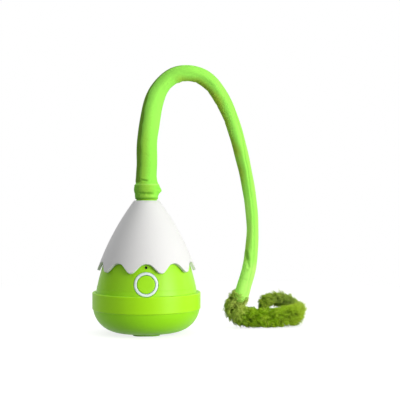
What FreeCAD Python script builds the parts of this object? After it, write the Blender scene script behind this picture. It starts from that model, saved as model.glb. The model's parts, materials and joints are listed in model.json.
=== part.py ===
"""Self-moving plush cat toy: an egg-shaped two-wheel drive body with a wired plush tail.

Millimetres, +Z up. The origin is on the body's vertical axis at the floor, the button faces -Y and
the tail arches towards +X.
"""
import FreeCAD, Part
import math
import os

V = FreeCAD.Vector

# Fits
RUNNING = 0.05           # radial clearance of a shaft in its bush
EASY = 0.10              # radial clearance of pieces that slide or drop into place
GAP = 0.3                # air between pieces that must never touch

# Band round the widest line
BAND_RADIUS = 45.0
BAND_DEPTH = 2.0
BAND_BOTTOM_Z = 20.3
BAND_TOP_Z = 34.5
BAND_LIP = 1.5
BAND_EDGE = 0.9

# Bowl: flat underside, round belly, upright rim
UNDERSIDE_Z = 1.6
BOWL_FLAT_RADIUS = 22.5
BELLY_STEP = 0.75        # the belly stands back from the band by this much
BOWL_WALL = 2.0
RIM_WALL = 1.8

# Upper shell
SHELL_SETBACK = 0.8      # from the rim's outside
SHELL_BULGE = 5.0
SHELL_WALL = 1.8
TONGUE_DEPTH = 4.0
TONGUE_ROOT = 6.0        # the tongue runs this far up inside the shell
SHELL_BOSS_RISE = 9.0
NECK_BLOCK = 5.4         # thickness of the shell's closed top

# White cap with its scalloped skirt
CAP_TOP_Z = 110.4
CAP_TOP_RADIUS = 10.5
CAP_SHOULDER = 1.7       # the shell's top is smaller than the cap's by this much
CAP_PLATE = 1.5
CAP_BULGE = 2.45
CAP_WALL = 1.3
SKIRT_SETBACK = 1.2      # from the shell's foot
SKIRT_TIP_Z = 52.8
SCALLOPS = 10
SCALLOP_RISE = 7.4
NOTCH_RADIUS = 8.0
LOBE_RADIUS = 4.3

# Glide pad between the wheels
PAD_HALF_WIDTH = 11.0
PAD_HALF_LENGTH = 20.0

# Power button, its light ring and the small sensor above it
BUTTON_Z = 43.8
RING_RADIUS = 9.8
RING_WIDTH = 2.5
RING_PROUD = 0.4
BUTTON_FLANGE = 0.8
HOUSING_WALL = 2.2
BUTTON_DEPTH = 10.2      # from the shell's foot radius to the button board
BOARD_THICKNESS = 1.2
BUTTON_BOARD_HALF = 9.5
BUTTON_BOARD_FOOT_Z = 32.0
BUTTON_TRAVEL = 0.8
BUTTON_CLEARANCE = 0.4   # left between the pressed button's flange and its switch
SWITCH_SIZE = 6.0
SWITCH_HEIGHT = 2.0
LAMP_SIZE = 1.6
LAMP_HEIGHT = 0.6
PLUNGER_RADIUS = 1.5
PLUNGER_PLAY = 0.2       # left behind the plunger when the button is pressed home
BUTTON_STEM = 0.3
BOARD_LUG_X = 12.8
BOARD_LUG_RADIUS = 2.4
BOARD_SCREW_RADIUS = 0.8
BOARD_SCREW_GRIP = 4.0
SENSOR_Z = 57.0
SENSOR_RADIUS = 1.1
SENSOR_RECESS = 0.9

# Wheels and their shafts
WHEEL_RADIUS = 13.0
TYRE_THICKNESS = 2.5
WHEEL_X = 21.0
WHEEL_WIDTH = 6.0
HUB_RADIUS = 3.0
AXLE_RADIUS = 1.0
SLOT_MARGIN = 1.2
WHEEL_WALL = 1.6
WHEEL_HOLES = 5
WHEEL_HOLE_RADIUS = 1.8
TYRE_EDGE = 0.8

# Gear train: pinion to compound idler to final gear
MODULE = 0.5
SMALL_TEETH = 10
LARGE_TEETH = 32
PRESSURE_ANGLE = math.radians(20)
BACKLASH = 0.06
SMALL_ADDENDUM = 1.0     # in modules
LARGE_ADDENDUM = 0.64    # in modules, short so that the ten-tooth gear isn't undercut
DEDENDUM = 1.25          # in modules
IDLER_ANGLE = 148.0      # degrees from +Y, seen along -X, from the axle to the left idler
MOTOR_ANGLE = 180.0      # the same, from the left idler to its motor
FINAL_GEAR_X = -14.5
FINAL_GEAR_WIDTH = 3.0
IDLER_LARGE_X = -10.95
IDLER_LARGE_WIDTH = 2.5
IDLER_HUB_RADIUS = 2.2
PINION_WIDTH = 3.0
GEAR_HUB = 0.3
GEAR_PLAY = 0.2
PIN_HEAD = 0.6
PIN_HEAD_RADIUS = 1.9

# Motors
MOTOR_DIAMETER = 12.0
MOTOR_FLAT = 10.0
MOTOR_LENGTH = 15.0
MOTOR_SHAFT_RADIUS = 0.5
MOTOR_BOSS_RADIUS = 2.0
MOTOR_BOSS_LENGTH = 0.8
MOTOR_SCREW_OFFSET = 4.4
MOTOR_SCREW_GRIP = 2.0
MOTOR_SCREW_HEAD = 0.6
MOTOR_SCREW_HEAD_RADIUS = 1.4
SHAFT_DEPTH = 10.5
TAG_LENGTH = 2.0
TAG_WIDTH = 1.2
TAG_THICKNESS = 0.4
TAG_OFFSET = 0.9
TAG_RISE = 3.0

# Drive frame
PLATE_Z = 7.0
PLATE_THICKNESS = 2.0
PLATE_RADIUS = 31.0
INNER_WALL_X = -7.5
OUTER_WALL_X = -28.0
FRAME_WALL = 2.0
BUSH_RADIUS = 2.2
BUSH_FLANGE_RADIUS = 2.9
BUSH_FLANGE = 0.4
CLIP_RADIUS = 2.4
CLIP_THICKNESS = 0.5
CLIP_PLAY = 0.1
OUTER_WALL_HALF = 5.5
FRAME_SCREW_X = 19.5
FRAME_SCREW_Y = 19.0
FRAME_SCREW_GRIP = 3.1
TRAY_POST_X = 15.0
TRAY_POST_FRONT_Y = -20.0
TRAY_POST_PLAY = 0.4     # between the rear post's screw head and the battery's wall
POST_RADIUS = 2.0
CRADLE_X = 5.5
BALLAST_HALF_WIDTH = 12.0
BALLAST_HALF_LENGTH = 18.0

# Battery, tray and main board
BATTERY_SIZE = (34.0, 24.0, 7.0)
TRAY_Z = 27.6
TRAY_THICKNESS = 1.6
TRAY_HALF_WIDTH = 18.5
TRAY_HALF_LENGTH = 23.0
TRAY_LIP = 1.2
TRAY_LIP_HEIGHT = 3.3
TRAY_SCREW_GRIP = 6.0
MAIN_BOARD_Z = 39.5
MAIN_BOARD_HALF_WIDTH = 22.0
MAIN_BOARD_FRONT_Y = -24.0
MAIN_BOARD_TAIL_WIDTH = 10.0
# Controller, coil, lead socket, capacitor and button socket: x, y, width, length, height
BOARD_PARTS = [(0, 0, 8, 8, 1.2), (-16, 6, 4, 4, 1.6), (15.5, 0, 7, 8, 4.5), (-15, -11, 6, 6, 2.2),
               (0, MAIN_BOARD_FRONT_Y + 3, 10, 4, 3.5)]
PORT_OVERHANG = 5.6
PORT_WIDTH = 8.94
PORT_HEIGHT = 3.2
PORT_DEPTH = 8.0
PORT_WALL = 0.35
PORT_TONGUE = 0.7
PORT_TONGUE_WIDTH = 6.64
PORT_FLOOR = 2.0         # closed back of the port
PORT_TONGUE_SETBACK = 1.0
PORT_SINK = 0.9
PORT_MARGIN = 0.25
PILLAR_X = 7.0
PILLAR_Y = 19.5
PILLAR_RADIUS = 2.2

# Screws
SCREW_RADIUS = 1.0
SCREW_HEAD_RADIUS = 1.9
SCREW_HEAD = 1.4
SHELL_SCREW_ANGLES = [12, 58, 122, 168]    # degrees from +X, so that none shows from the front
SHELL_SCREW_SEAT_Z = 12.5
SHELL_SCREW_LENGTH = 25.0
BOSS_WALL = 1.7
BOSS_SINK = 0.65         # how far a screw boss runs into the wall beside it

# Neck: socket in the body, plug on the tail
SOCKET_BORE = 5.1
SOCKET_WALL = 1.9
SOCKET_DEPTH = 15.0
SOCKET_FLANGE_RADIUS = 8.6
SOCKET_FLANGE = 0.8
NUT_RADIUS = 9.2
NUT_HEIGHT = 3.0
NUT_NOTCH = 1.2
PLUG_LENGTH = 13.0
PLUG_FLANGE_RADIUS = 8.4
PLUG_FLANGE = 1.2
PLUG_HEAD_RADIUS = 6.5
PLUG_HEAD = 9.6

# Tail: cuff over the plug, centre line from the cuff to the end of the pile, thickness on the way
HEM_RADIUS = 9.4
HEM_FULLNESS = 0.15      # the hem stands out by this much between its edge and the waist
WAIST_RADIUS = 9.8
WAIST_Z = 5.0            # waist, cuff, riser and tie heights are above the socket's flange
CUFF_RADIUS = 10.5
CUFF_Z = 8.4
CUFF_TOP_Z = 12.6
CUFF_TOP_RADIUS = 9.1
RISER_Z = 20.0
TIE_RADIUS = 7.8         # inside of the tie band, which runs in a casing in the cloth
TIE_THICKNESS = 0.8
TIE_Z = 4.2
TIE_WIDTH = 1.6
CORE_RADIUS = 1.2
CORE_INSET = 2.0
CORE_SHARE_OF_TIP = 0.8
SLEEVE_ROUTE = [
    (0.6, 0.0, 139.0), (0.9, 0.0, 158.0), (2.7, -0.1, 174.0), (5.6, -0.3, 189.5), (11.4, -0.5, 203.3),
    (22.0, -1.0, 213.4), (36.3, -1.4, 216.0), (50.0, -1.4, 210.6), (60.1, -0.3, 199.3), (67.2, 1.3, 186.0),
    (72.7, 3.0, 171.8), (77.3, 4.8, 157.3), (81.0, 6.7, 142.6), (84.3, 8.5, 127.8),
    (87.1, 10.4, 112.8), (88.8, 12.3, 97.5), (89.6, 13.9, 82.1), (88.9, 15.6, 66.7),
    (86.9, 17.1, 51.3), (83.5, 18.2, 37.5)]
SLEEVE_END = (80.3, 19.0, 28.4)
TIP_ROUTE = [
    (75.6, 20.6, 22.2), (76.4, 22.2, 15.2), (84.8, 23.6, 10.7), (95.4, 24.9, 8.5), (107.3, 26.0, 8.4),
    (119.0, 27.4, 9.5), (128.4, 31.2, 11.0), (132.2, 38.4, 13.8), (130.2, 45.8, 17.2), (124.8, 50.8, 20.0),
    (117.6, 53.6, 21.8), (109.8, 53.6, 21.8), (104.2, 50.4, 18.8), (102.2, 45.8, 13.4)]
# Share of the sleeve's or the tip's length, and the radius there
SLEEVE_RADII = [(0.0, 8.6), (0.17, 8.4), (0.27, 6.9), (0.40, 6.7),
                (0.55, 6.0), (0.70, 5.4), (0.81, 5.1), (0.92, 5.9), (1.0, 6.5)]
TIP_RADII = [(0.0, 6.5), (0.08, 8.5), (0.3, 7.9), (0.5, 8.4),
             (0.66, 6.6), (0.8, 5.8), (0.94, 5.2), (1.0, 3.0)]
SLEEVE_STATIONS = 30
TIP_STATIONS = 24

# Leads
LEAD_RADIUS = 0.5
LEAD_BEND = 2.0
LEAD_REACH = 2.8
LEAD_SPACING = 2.0
MOTOR_LEAD_X = 20.6

# Places that follow from the sizes above
BOWL_FLOOR_Z = UNDERSIDE_Z + BOWL_WALL
RIM_TOP_Z = BAND_TOP_Z - BAND_LIP
RIM_RADIUS = BAND_RADIUS - BAND_DEPTH
RIM_BORE = RIM_RADIUS - RIM_WALL
BELLY_RADIUS_AT_BAND = BAND_RADIUS - BELLY_STEP
SHELL_FOOT = (RIM_RADIUS - SHELL_SETBACK, RIM_TOP_Z)
SHELL_TOP = (CAP_TOP_RADIUS - CAP_SHOULDER, CAP_TOP_Z - CAP_PLATE)
SKIRT_FOOT = (SHELL_FOOT[0] - SKIRT_SETBACK, SKIRT_TIP_Z)
CAP_TOP = (CAP_TOP_RADIUS, CAP_TOP_Z)
TONGUE_RADIUS = RIM_BORE - RUNNING
TONGUE_BORE = TONGUE_RADIUS - SHELL_WALL
TONGUE_Z = RIM_TOP_Z - TONGUE_DEPTH
BOSS_RADIUS = SCREW_RADIUS + BOSS_WALL
SHELL_SCREW_CIRCLE = TONGUE_BORE + BOSS_SINK - BOSS_RADIUS
BUTTON_BOARD_Y = BUTTON_DEPTH - SHELL_FOOT[0]
AXLE_Z = WHEEL_RADIUS
CENTRE_DISTANCE = MODULE * (SMALL_TEETH + LARGE_TEETH) / 2
IDLER_Y = CENTRE_DISTANCE * math.cos(math.radians(IDLER_ANGLE))
IDLER_Z = AXLE_Z + CENTRE_DISTANCE * math.sin(math.radians(IDLER_ANGLE))
MOTOR_Y = IDLER_Y + CENTRE_DISTANCE * math.cos(math.radians(MOTOR_ANGLE))
MOTOR_Z = IDLER_Z + CENTRE_DISTANCE * math.sin(math.radians(MOTOR_ANGLE))
INNER_WALL_FACE = INNER_WALL_X - FRAME_WALL / 2
MOTOR_FACE = INNER_WALL_X + FRAME_WALL / 2
HUB_START_X = OUTER_WALL_X + FRAME_WALL / 2 + BUSH_FLANGE + GEAR_PLAY
HUB_END_X = FINAL_GEAR_X - FINAL_GEAR_WIDTH / 2 - SLOT_MARGIN
IDLER_END_X = FINAL_GEAR_X - FINAL_GEAR_WIDTH / 2 - GEAR_PLAY
SHAFT_END_X = MOTOR_FACE + SHAFT_DEPTH
AXLE_OUTER_X = OUTER_WALL_X - FRAME_WALL / 2 - 2 * CLIP_THICKNESS
AXLE_INNER_X = MOTOR_FACE + 2 * CLIP_THICKNESS
PLATE_TOP = PLATE_Z + PLATE_THICKNESS
TRAY_TOP = TRAY_Z + TRAY_THICKNESS
MAIN_BOARD_TOP = MAIN_BOARD_Z + BOARD_THICKNESS
BATTERY_WALL_Y = BATTERY_SIZE[1] / 2 + EASY + TRAY_LIP
# The tray's posts on the left; the right has them half a turn round
TRAY_POSTS = [(-TRAY_POST_X, TRAY_POST_FRONT_Y),
              (-TRAY_POST_X, BATTERY_WALL_Y + TRAY_POST_PLAY + SCREW_HEAD_RADIUS)]
NECK_Z = CAP_TOP_Z + SOCKET_FLANGE
PLUG_TOP_Z = NECK_Z + PLUG_FLANGE + PLUG_HEAD
BUTTON_RADIUS = RING_RADIUS - RING_WIDTH - EASY
SWITCH_TOP_Y = BUTTON_BOARD_Y - SWITCH_HEIGHT
BUTTON_BACK_Y = SWITCH_TOP_Y - BUTTON_CLEARANCE - BUTTON_TRAVEL - BUTTON_FLANGE
PLUNGER_TOP_Y = BUTTON_BACK_Y + BUTTON_FLANGE + BUTTON_STEM
PLUNGER_END_Y = BUTTON_BOARD_Y - BUTTON_TRAVEL - PLUNGER_PLAY


def outline(corners):
    """Closed face in the XZ plane: (r, z) is reached by a line, (r, z, rm, zm) by an arc through (rm, zm)."""
    edges = []
    last = V(corners[-1][0], 0, corners[-1][1])
    for corner in corners:
        here = V(corner[0], 0, corner[1])
        if len(corner) == 4:
            edges.append(Part.Arc(last, V(corner[2], 0, corner[3]), here).toShape())
        else:
            edges.append(Part.LineSegment(last, here).toShape())
        last = here
    return Part.Face(Part.Wire(edges))


def turned(corners):
    return outline(corners).revolve(V(0, 0, 0), V(0, 0, 1), 360)


def rod(radius, start, end):
    start = V(*start)
    way = V(*end) - start
    return Part.makeCylinder(radius, way.Length, start, way)


def tube(outer, inner, start, end):
    return rod(outer, start, end).cut(rod(inner, start, end))


def block(x, y, z):
    return Part.makeBox(x[1] - x[0], y[1] - y[0], z[1] - z[0], V(x[0], y[0], z[0]))


def rounded(shape, direction, radius):
    """The shape with its edges along one direction rounded."""
    edges = [edge for edge in shape.Edges
             if isinstance(edge.Curve, Part.Line) and abs(edge.Curve.Direction.dot(direction)) > 0.999]
    return shape.makeFillet(radius, edges)


def joined(*shapes):
    return shapes[0].multiFuse(list(shapes[1:])).removeSplitter()


def group(shapes):
    return Part.makeCompound(list(shapes))


def other_side(shape):
    """The same drive piece on the right: half a turn about the body's axis."""
    copy = shape.copy()
    copy.rotate(V(0, 0, 0), V(0, 0, 1), 180)
    return copy


def screw(seat, way, length):
    """Round-headed screw: seat is the point under its head, way points from the head to the tip."""
    seat = V(*seat)
    way = V(*way)
    tip = seat + way * length
    back = seat - way * SCREW_HEAD
    recess = rod(SCREW_RADIUS * 0.7, back, back + way * SCREW_HEAD * 0.5)
    return joined(rod(SCREW_RADIUS, seat, tip), rod(SCREW_HEAD_RADIUS, back, seat)).cut(recess)


def arc_frame(low, high, bulge):
    """Middle, centre and radius of the arc from low to high that stands out by its bulge."""
    dr, dz = high[0] - low[0], high[1] - low[1]
    chord = math.hypot(dr, dz)
    out = (dz / chord, -dr / chord)
    radius = (chord * chord / 4 + bulge * bulge) / (2 * bulge)
    middle = ((low[0] + high[0]) / 2 + bulge * out[0], (low[1] + high[1]) / 2 + bulge * out[1])
    centre = (middle[0] - radius * out[0], middle[1] - radius * out[1])
    return middle, centre, radius


def moved_in(low, high, bulge, depth):
    """The arc's low end, high end and middle, each moved towards its centre by a depth."""
    middle, centre, radius = arc_frame(low, high, bulge)
    share = depth / radius
    return [(p[0] + (centre[0] - p[0]) * share, p[1] + (centre[1] - p[1]) * share)
            for p in (low, high, middle)]


def arc_radius_at(low, high, bulge, z):
    """Distance from the body's axis to the arc at a height."""
    _, centre, radius = arc_frame(low, high, bulge)
    return centre[0] + math.sqrt(radius * radius - (z - centre[1]) ** 2)


def shell_radius(z):
    return arc_radius_at(SHELL_FOOT, SHELL_TOP, SHELL_BULGE, z)


PORT_MOUTH_Y = shell_radius(MAIN_BOARD_TOP + PORT_HEIGHT / 2) - PORT_SINK
MAIN_BOARD_REAR_Y = PORT_MOUTH_Y - PORT_OVERHANG


def dome(depth):
    """Solid under the upper shell's outer surface, moved in by a depth (out where it is negative)."""
    low, high, middle = moved_in(SHELL_FOOT, SHELL_TOP, SHELL_BULGE, depth)
    return turned([(0, low[1]), low, high + middle, (0, high[1])])


def belly():
    """Centre (r, z) and radius of the bowl's round outside, tangent to its flat underside."""
    dr = BELLY_RADIUS_AT_BAND - BOWL_FLAT_RADIUS
    dz = BAND_BOTTOM_Z - UNDERSIDE_Z
    radius = (dr * dr + dz * dz) / (2 * dz)
    return (BOWL_FLAT_RADIUS, UNDERSIDE_Z + radius), radius


def on_circle(centre, radius, angle):
    return (centre[0] + radius * math.cos(angle), centre[1] + radius * math.sin(angle))


def bowl_body(radius_off, end_radius, corners):
    """Solid of the bowl: its flat, the belly's arc up to a radius, then the corners given."""
    centre, radius = belly()
    radius -= radius_off
    end = -math.acos((end_radius - centre[0]) / radius)
    return turned([(0, centre[1] - radius), (centre[0], centre[1] - radius),
                   on_circle(centre, radius, end)
                   + on_circle(centre, radius, (end - math.pi / 2) / 2)] + corners)


def screw_places():
    """The four shell screws' places (x, y)."""
    return [on_circle((0, 0), SHELL_SCREW_CIRCLE, math.radians(angle)) for angle in SHELL_SCREW_ANGLES]


def frame_screw_places():
    return [(sx * FRAME_SCREW_X, sy * FRAME_SCREW_Y) for sx in (-1, 1) for sy in (-1, 1)]


def wheel_slot(x, y, z):
    """The two openings that the wheels pass through, as one shape."""
    left = block((-x[1], -x[0]), (-y, y), z)
    return group([left, other_side(left)])


def base_bowl():
    outside = bowl_body(0, BELLY_RADIUS_AT_BAND,
                        [(RIM_RADIUS, BAND_BOTTOM_Z), (RIM_RADIUS, RIM_TOP_Z), (0, RIM_TOP_Z)])
    hollow = bowl_body(BOWL_WALL, RIM_BORE, [(RIM_BORE, RIM_TOP_Z), (0, RIM_TOP_Z)])
    columns = [rod(BOSS_RADIUS, (x, y, UNDERSIDE_Z), (x, y, TONGUE_Z)) for x, y in screw_places()]
    columns += [rod(BOSS_RADIUS, (x, y, UNDERSIDE_Z), (x, y, PLATE_Z)) for x, y in frame_screw_places()]
    bowl = joined(outside.cut(hollow), *[column.common(outside) for column in columns])
    for x, y in screw_places():
        bowl = bowl.cut(rod(SCREW_HEAD_RADIUS + EASY, (x, y, 0), (x, y, SHELL_SCREW_SEAT_Z)))
        bowl = bowl.cut(rod(SCREW_RADIUS + EASY, (x, y, 0), (x, y, TONGUE_Z)))
    for x, y in frame_screw_places():
        bowl = bowl.cut(rod(SCREW_RADIUS, (x, y, PLATE_Z - FRAME_SCREW_GRIP), (x, y, PLATE_Z)))
    half = WHEEL_WIDTH / 2 + SLOT_MARGIN
    chord = math.sqrt(WHEEL_RADIUS ** 2 - (AXLE_Z - BOWL_FLOOR_Z) ** 2)
    return bowl.cut(wheel_slot((WHEEL_X - half, WHEEL_X + half), chord + SLOT_MARGIN,
                               (0, BOWL_FLOOR_Z + SLOT_MARGIN)))


def forward(radius, x, z):
    """Round bar from the button board's plane out through the front of the shell."""
    return rod(radius, (x, BUTTON_BOARD_Y, z), (x, -BAND_RADIUS, z))


def neck_hole():
    """The hole for the tail socket's stem, through the shell's closed top and the cap's plate."""
    radius = SOCKET_BORE + SOCKET_WALL + RUNNING
    return rod(radius, (0, 0, SHELL_TOP[1] - NECK_BLOCK), (0, 0, CAP_TOP_Z))


def bumper_band():
    inner = RIM_RADIUS + RUNNING
    lip = SHELL_FOOT[0] + EASY
    low = BAND_BOTTOM_Z
    high = BAND_TOP_Z
    edge = BAND_EDGE
    turn = edge * (1 - math.sqrt(0.5))
    band = turned([(inner, low), (BAND_RADIUS - edge, low),
                   (BAND_RADIUS, low + edge, BAND_RADIUS - turn, low + turn),
                   (BAND_RADIUS, high - edge),
                   (BAND_RADIUS - edge, high, BAND_RADIUS - turn, high - turn),
                   (lip, high), (lip, RIM_TOP_Z), (inner, RIM_TOP_Z)])
    return band.cut(rod(RING_RADIUS + EASY, (0, 0, BUTTON_Z), (0, -BAND_RADIUS - edge, BUTTON_Z)))


def upper_shell():
    outside = dome(0)
    hollow = dome(SHELL_WALL).common(rod(BAND_RADIUS, (0, 0, 0), (0, 0, SHELL_TOP[1] - NECK_BLOCK)))
    tongue = tube(TONGUE_RADIUS, TONGUE_BORE, (0, 0, TONGUE_Z), (0, 0, RIM_TOP_Z + TONGUE_ROOT))
    bosses = [rod(BOSS_RADIUS, (x, y, TONGUE_Z), (x, y, RIM_TOP_Z + SHELL_BOSS_RISE))
              for x, y in screw_places()]
    bore = RING_RADIUS + EASY
    housing = [forward(bore + HOUSING_WALL, 0, BUTTON_Z)]
    housing += [forward(BOARD_LUG_RADIUS, x, BUTTON_Z) for x in (-BOARD_LUG_X, BOARD_LUG_X)]
    shell = joined(outside.cut(hollow), tongue, *bosses, *[part.common(outside) for part in housing])
    shell = shell.cut(forward(bore, 0, BUTTON_Z)).cut(forward(SENSOR_RADIUS + RUNNING, 0, SENSOR_Z))
    for x in (-BOARD_LUG_X, BOARD_LUG_X):
        shell = shell.cut(rod(BOARD_SCREW_RADIUS, (x, BUTTON_BOARD_Y, BUTTON_Z),
                              (x, BUTTON_BOARD_Y - BOARD_SCREW_GRIP, BUTTON_Z)))
    screw_top = SHELL_SCREW_SEAT_Z + SHELL_SCREW_LENGTH
    for x, y in screw_places():
        shell = shell.cut(rod(SCREW_RADIUS, (x, y, TONGUE_Z), (x, y, screw_top)))
    shell = shell.cut(neck_hole())
    return shell.cut(port_shape(PORT_WIDTH + 2 * PORT_MARGIN, PORT_HEIGHT + 2 * PORT_MARGIN,
                                (PORT_MOUTH_Y - PORT_DEPTH, BAND_RADIUS)))


def notch_prism():
    """Solid that cuts the skirt's front notch: round top, straight flanks, round lobes beside it."""
    reach = SKIRT_FOOT[0] * math.sin(math.pi / SCALLOPS)
    notch = min(NOTCH_RADIUS, reach - LOBE_RADIUS)
    top = (0, SKIRT_TIP_Z + SCALLOP_RISE - notch)
    side = (reach, SKIRT_TIP_Z + LOBE_RADIUS)
    way = math.atan2(side[1] - top[1], side[0] - top[0])
    lean = math.acos((notch + LOBE_RADIUS) / math.hypot(side[0] - top[0], side[1] - top[1]))
    high = on_circle(top, notch, way + lean)
    low = on_circle(side, LOBE_RADIUS, way + lean + math.pi)
    lobe = on_circle(side, LOBE_RADIUS, (way + lean + math.pi + 1.5 * math.pi) / 2)
    depth = SKIRT_TIP_Z - SCALLOP_RISE
    face = outline([(reach, SKIRT_TIP_Z), low + lobe, high, (-high[0], high[1], 0, top[1] + notch),
                    (-low[0], low[1]), (-reach, SKIRT_TIP_Z, -lobe[0], lobe[1]),
                    (-reach, depth), (reach, depth)])
    face.translate(V(0, -SKIRT_FOOT[0] / 2, 0))
    return face.extrude(V(0, -SKIRT_FOOT[0], 0))


def cap_skirt():
    middle = arc_frame(SKIRT_FOOT, CAP_TOP, CAP_BULGE)[0]
    outside = turned([(0, SKIRT_FOOT[1]), SKIRT_FOOT, CAP_TOP + middle, (0, CAP_TOP_Z)])
    low, high, inner_middle = moved_in(SKIRT_FOOT, CAP_TOP, CAP_BULGE, CAP_WALL)
    below = low[1] - CAP_WALL
    hollow = turned([(0, below), (low[0], below), low, high + inner_middle, (0, high[1])])
    hollow = hollow.common(rod(BAND_RADIUS, (0, 0, 0), (0, 0, SHELL_TOP[1])))
    cap = outside.cut(hollow).cut(neck_hole())
    for number in range(SCALLOPS):
        prism = notch_prism()
        prism.rotate(V(0, 0, 0), V(0, 0, 1), number * 360 / SCALLOPS)
        cap = cap.cut(prism)
    return cap


def glide_pad():
    pad = block((-PAD_HALF_WIDTH, PAD_HALF_WIDTH), (-PAD_HALF_LENGTH, PAD_HALF_LENGTH), (0, UNDERSIDE_Z))
    return rounded(pad, V(0, 0, 1), PAD_HALF_WIDTH * 0.6)


def light_ring():
    z = BUTTON_Z
    ring = tube(RING_RADIUS, RING_RADIUS - RING_WIDTH, (0, BUTTON_BOARD_Y, z), (0, -BAND_RADIUS, z))
    pocket = rod(BUTTON_RADIUS + BUTTON_FLANGE + EASY, (0, BUTTON_BOARD_Y, z), (0, BUTTON_BACK_Y, z))
    return ring.common(dome(-RING_PROUD)).cut(pocket)


def power_button():
    z = BUTTON_Z
    face = rod(BUTTON_RADIUS, (0, BUTTON_BACK_Y, z), (0, -BAND_RADIUS, z)).common(dome(-RING_PROUD / 2))
    flange = rod(BUTTON_RADIUS + BUTTON_FLANGE, (0, BUTTON_BACK_Y, z), (0, BUTTON_BACK_Y + BUTTON_FLANGE, z))
    stem = rod(PLUNGER_RADIUS, (0, BUTTON_BACK_Y + BUTTON_FLANGE, z), (0, PLUNGER_TOP_Y, z))
    return joined(face, flange, stem)


def switch_plunger():
    return rod(PLUNGER_RADIUS, (0, PLUNGER_TOP_Y, BUTTON_Z), (0, PLUNGER_END_Y, BUTTON_Z))


def button_board():
    y = (BUTTON_BOARD_Y, BUTTON_BOARD_Y + BOARD_THICKNESS)
    half = SWITCH_SIZE / 2
    board = block((-BUTTON_BOARD_HALF, BUTTON_BOARD_HALF), y, (BUTTON_BOARD_FOOT_Z, BUTTON_Z + RING_RADIUS))
    arm = BOARD_LUG_X + BOARD_LUG_RADIUS
    arms = block((-arm, arm), y, (BUTTON_Z - half, BUTTON_Z + half))
    neck = block((-half, half), y, (BUTTON_Z, SENSOR_Z + half))
    switch = block((-half, half), (SWITCH_TOP_Y, BUTTON_BOARD_Y), (BUTTON_Z - half, BUTTON_Z + half))
    lamps = []
    for angle in range(45, 360, 90):
        x, z = on_circle((0, BUTTON_Z), SWITCH_SIZE, math.radians(angle))
        lamps.append(block(around(x, LAMP_SIZE), (BUTTON_BOARD_Y - LAMP_HEIGHT, BUTTON_BOARD_Y),
                           around(z, LAMP_SIZE)))
    board = joined(board, arms, neck, switch, *lamps)
    board = board.cut(rod(PLUNGER_RADIUS + RUNNING, (0, SWITCH_TOP_Y, BUTTON_Z),
                          (0, BUTTON_BOARD_Y, BUTTON_Z)))
    for x in (-BOARD_LUG_X, BOARD_LUG_X):
        board = board.cut(rod(BOARD_SCREW_RADIUS, (x, y[0], BUTTON_Z), (x, y[1], BUTTON_Z)))
    return board


def board_screws():
    y = BUTTON_BOARD_Y + BOARD_THICKNESS
    screws = []
    for x in (-BOARD_LUG_X, BOARD_LUG_X):
        shank = rod(BOARD_SCREW_RADIUS, (x, y, BUTTON_Z), (x, BUTTON_BOARD_Y - BOARD_SCREW_GRIP, BUTTON_Z))
        head = rod(BOARD_SCREW_RADIUS * 2, (x, y, BUTTON_Z), (x, y + BOARD_SCREW_RADIUS, BUTTON_Z))
        screws.append(joined(shank, head))
    return group(screws)


def sensor_lens():
    front = SENSOR_RECESS - shell_radius(SENSOR_Z)
    return rod(SENSOR_RADIUS, (0, BUTTON_BOARD_Y, SENSOR_Z), (0, front, SENSOR_Z))


def tail_socket():
    outer = SOCKET_BORE + SOCKET_WALL
    flange = rod(SOCKET_FLANGE_RADIUS, (0, 0, CAP_TOP_Z), (0, 0, NECK_Z))
    stem = rod(outer, (0, 0, NECK_Z - SOCKET_DEPTH), (0, 0, CAP_TOP_Z))
    return joined(flange, stem).cut(rod(SOCKET_BORE, (0, 0, NECK_Z - SOCKET_DEPTH), (0, 0, NECK_Z)))


def socket_nut():
    top = SHELL_TOP[1] - NECK_BLOCK
    nut = tube(NUT_RADIUS, SOCKET_BORE + SOCKET_WALL, (0, 0, top - NUT_HEIGHT), (0, 0, top))
    for number in range(6):
        angle = math.radians(60 * number)
        x, y = on_circle((0, 0), NUT_RADIUS, angle)
        nut = nut.cut(rod(NUT_NOTCH, (x, y, top - NUT_HEIGHT), (x, y, top)))
    return nut


def shell_screws():
    return group([screw((x, y, SHELL_SCREW_SEAT_Z), (0, 0, 1), SHELL_SCREW_LENGTH)
                  for x, y in screw_places()])


def across(y, z, x0, x1, radius):
    """Round bar along X."""
    return rod(radius, (x0, y, z), (x1, y, z))


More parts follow.
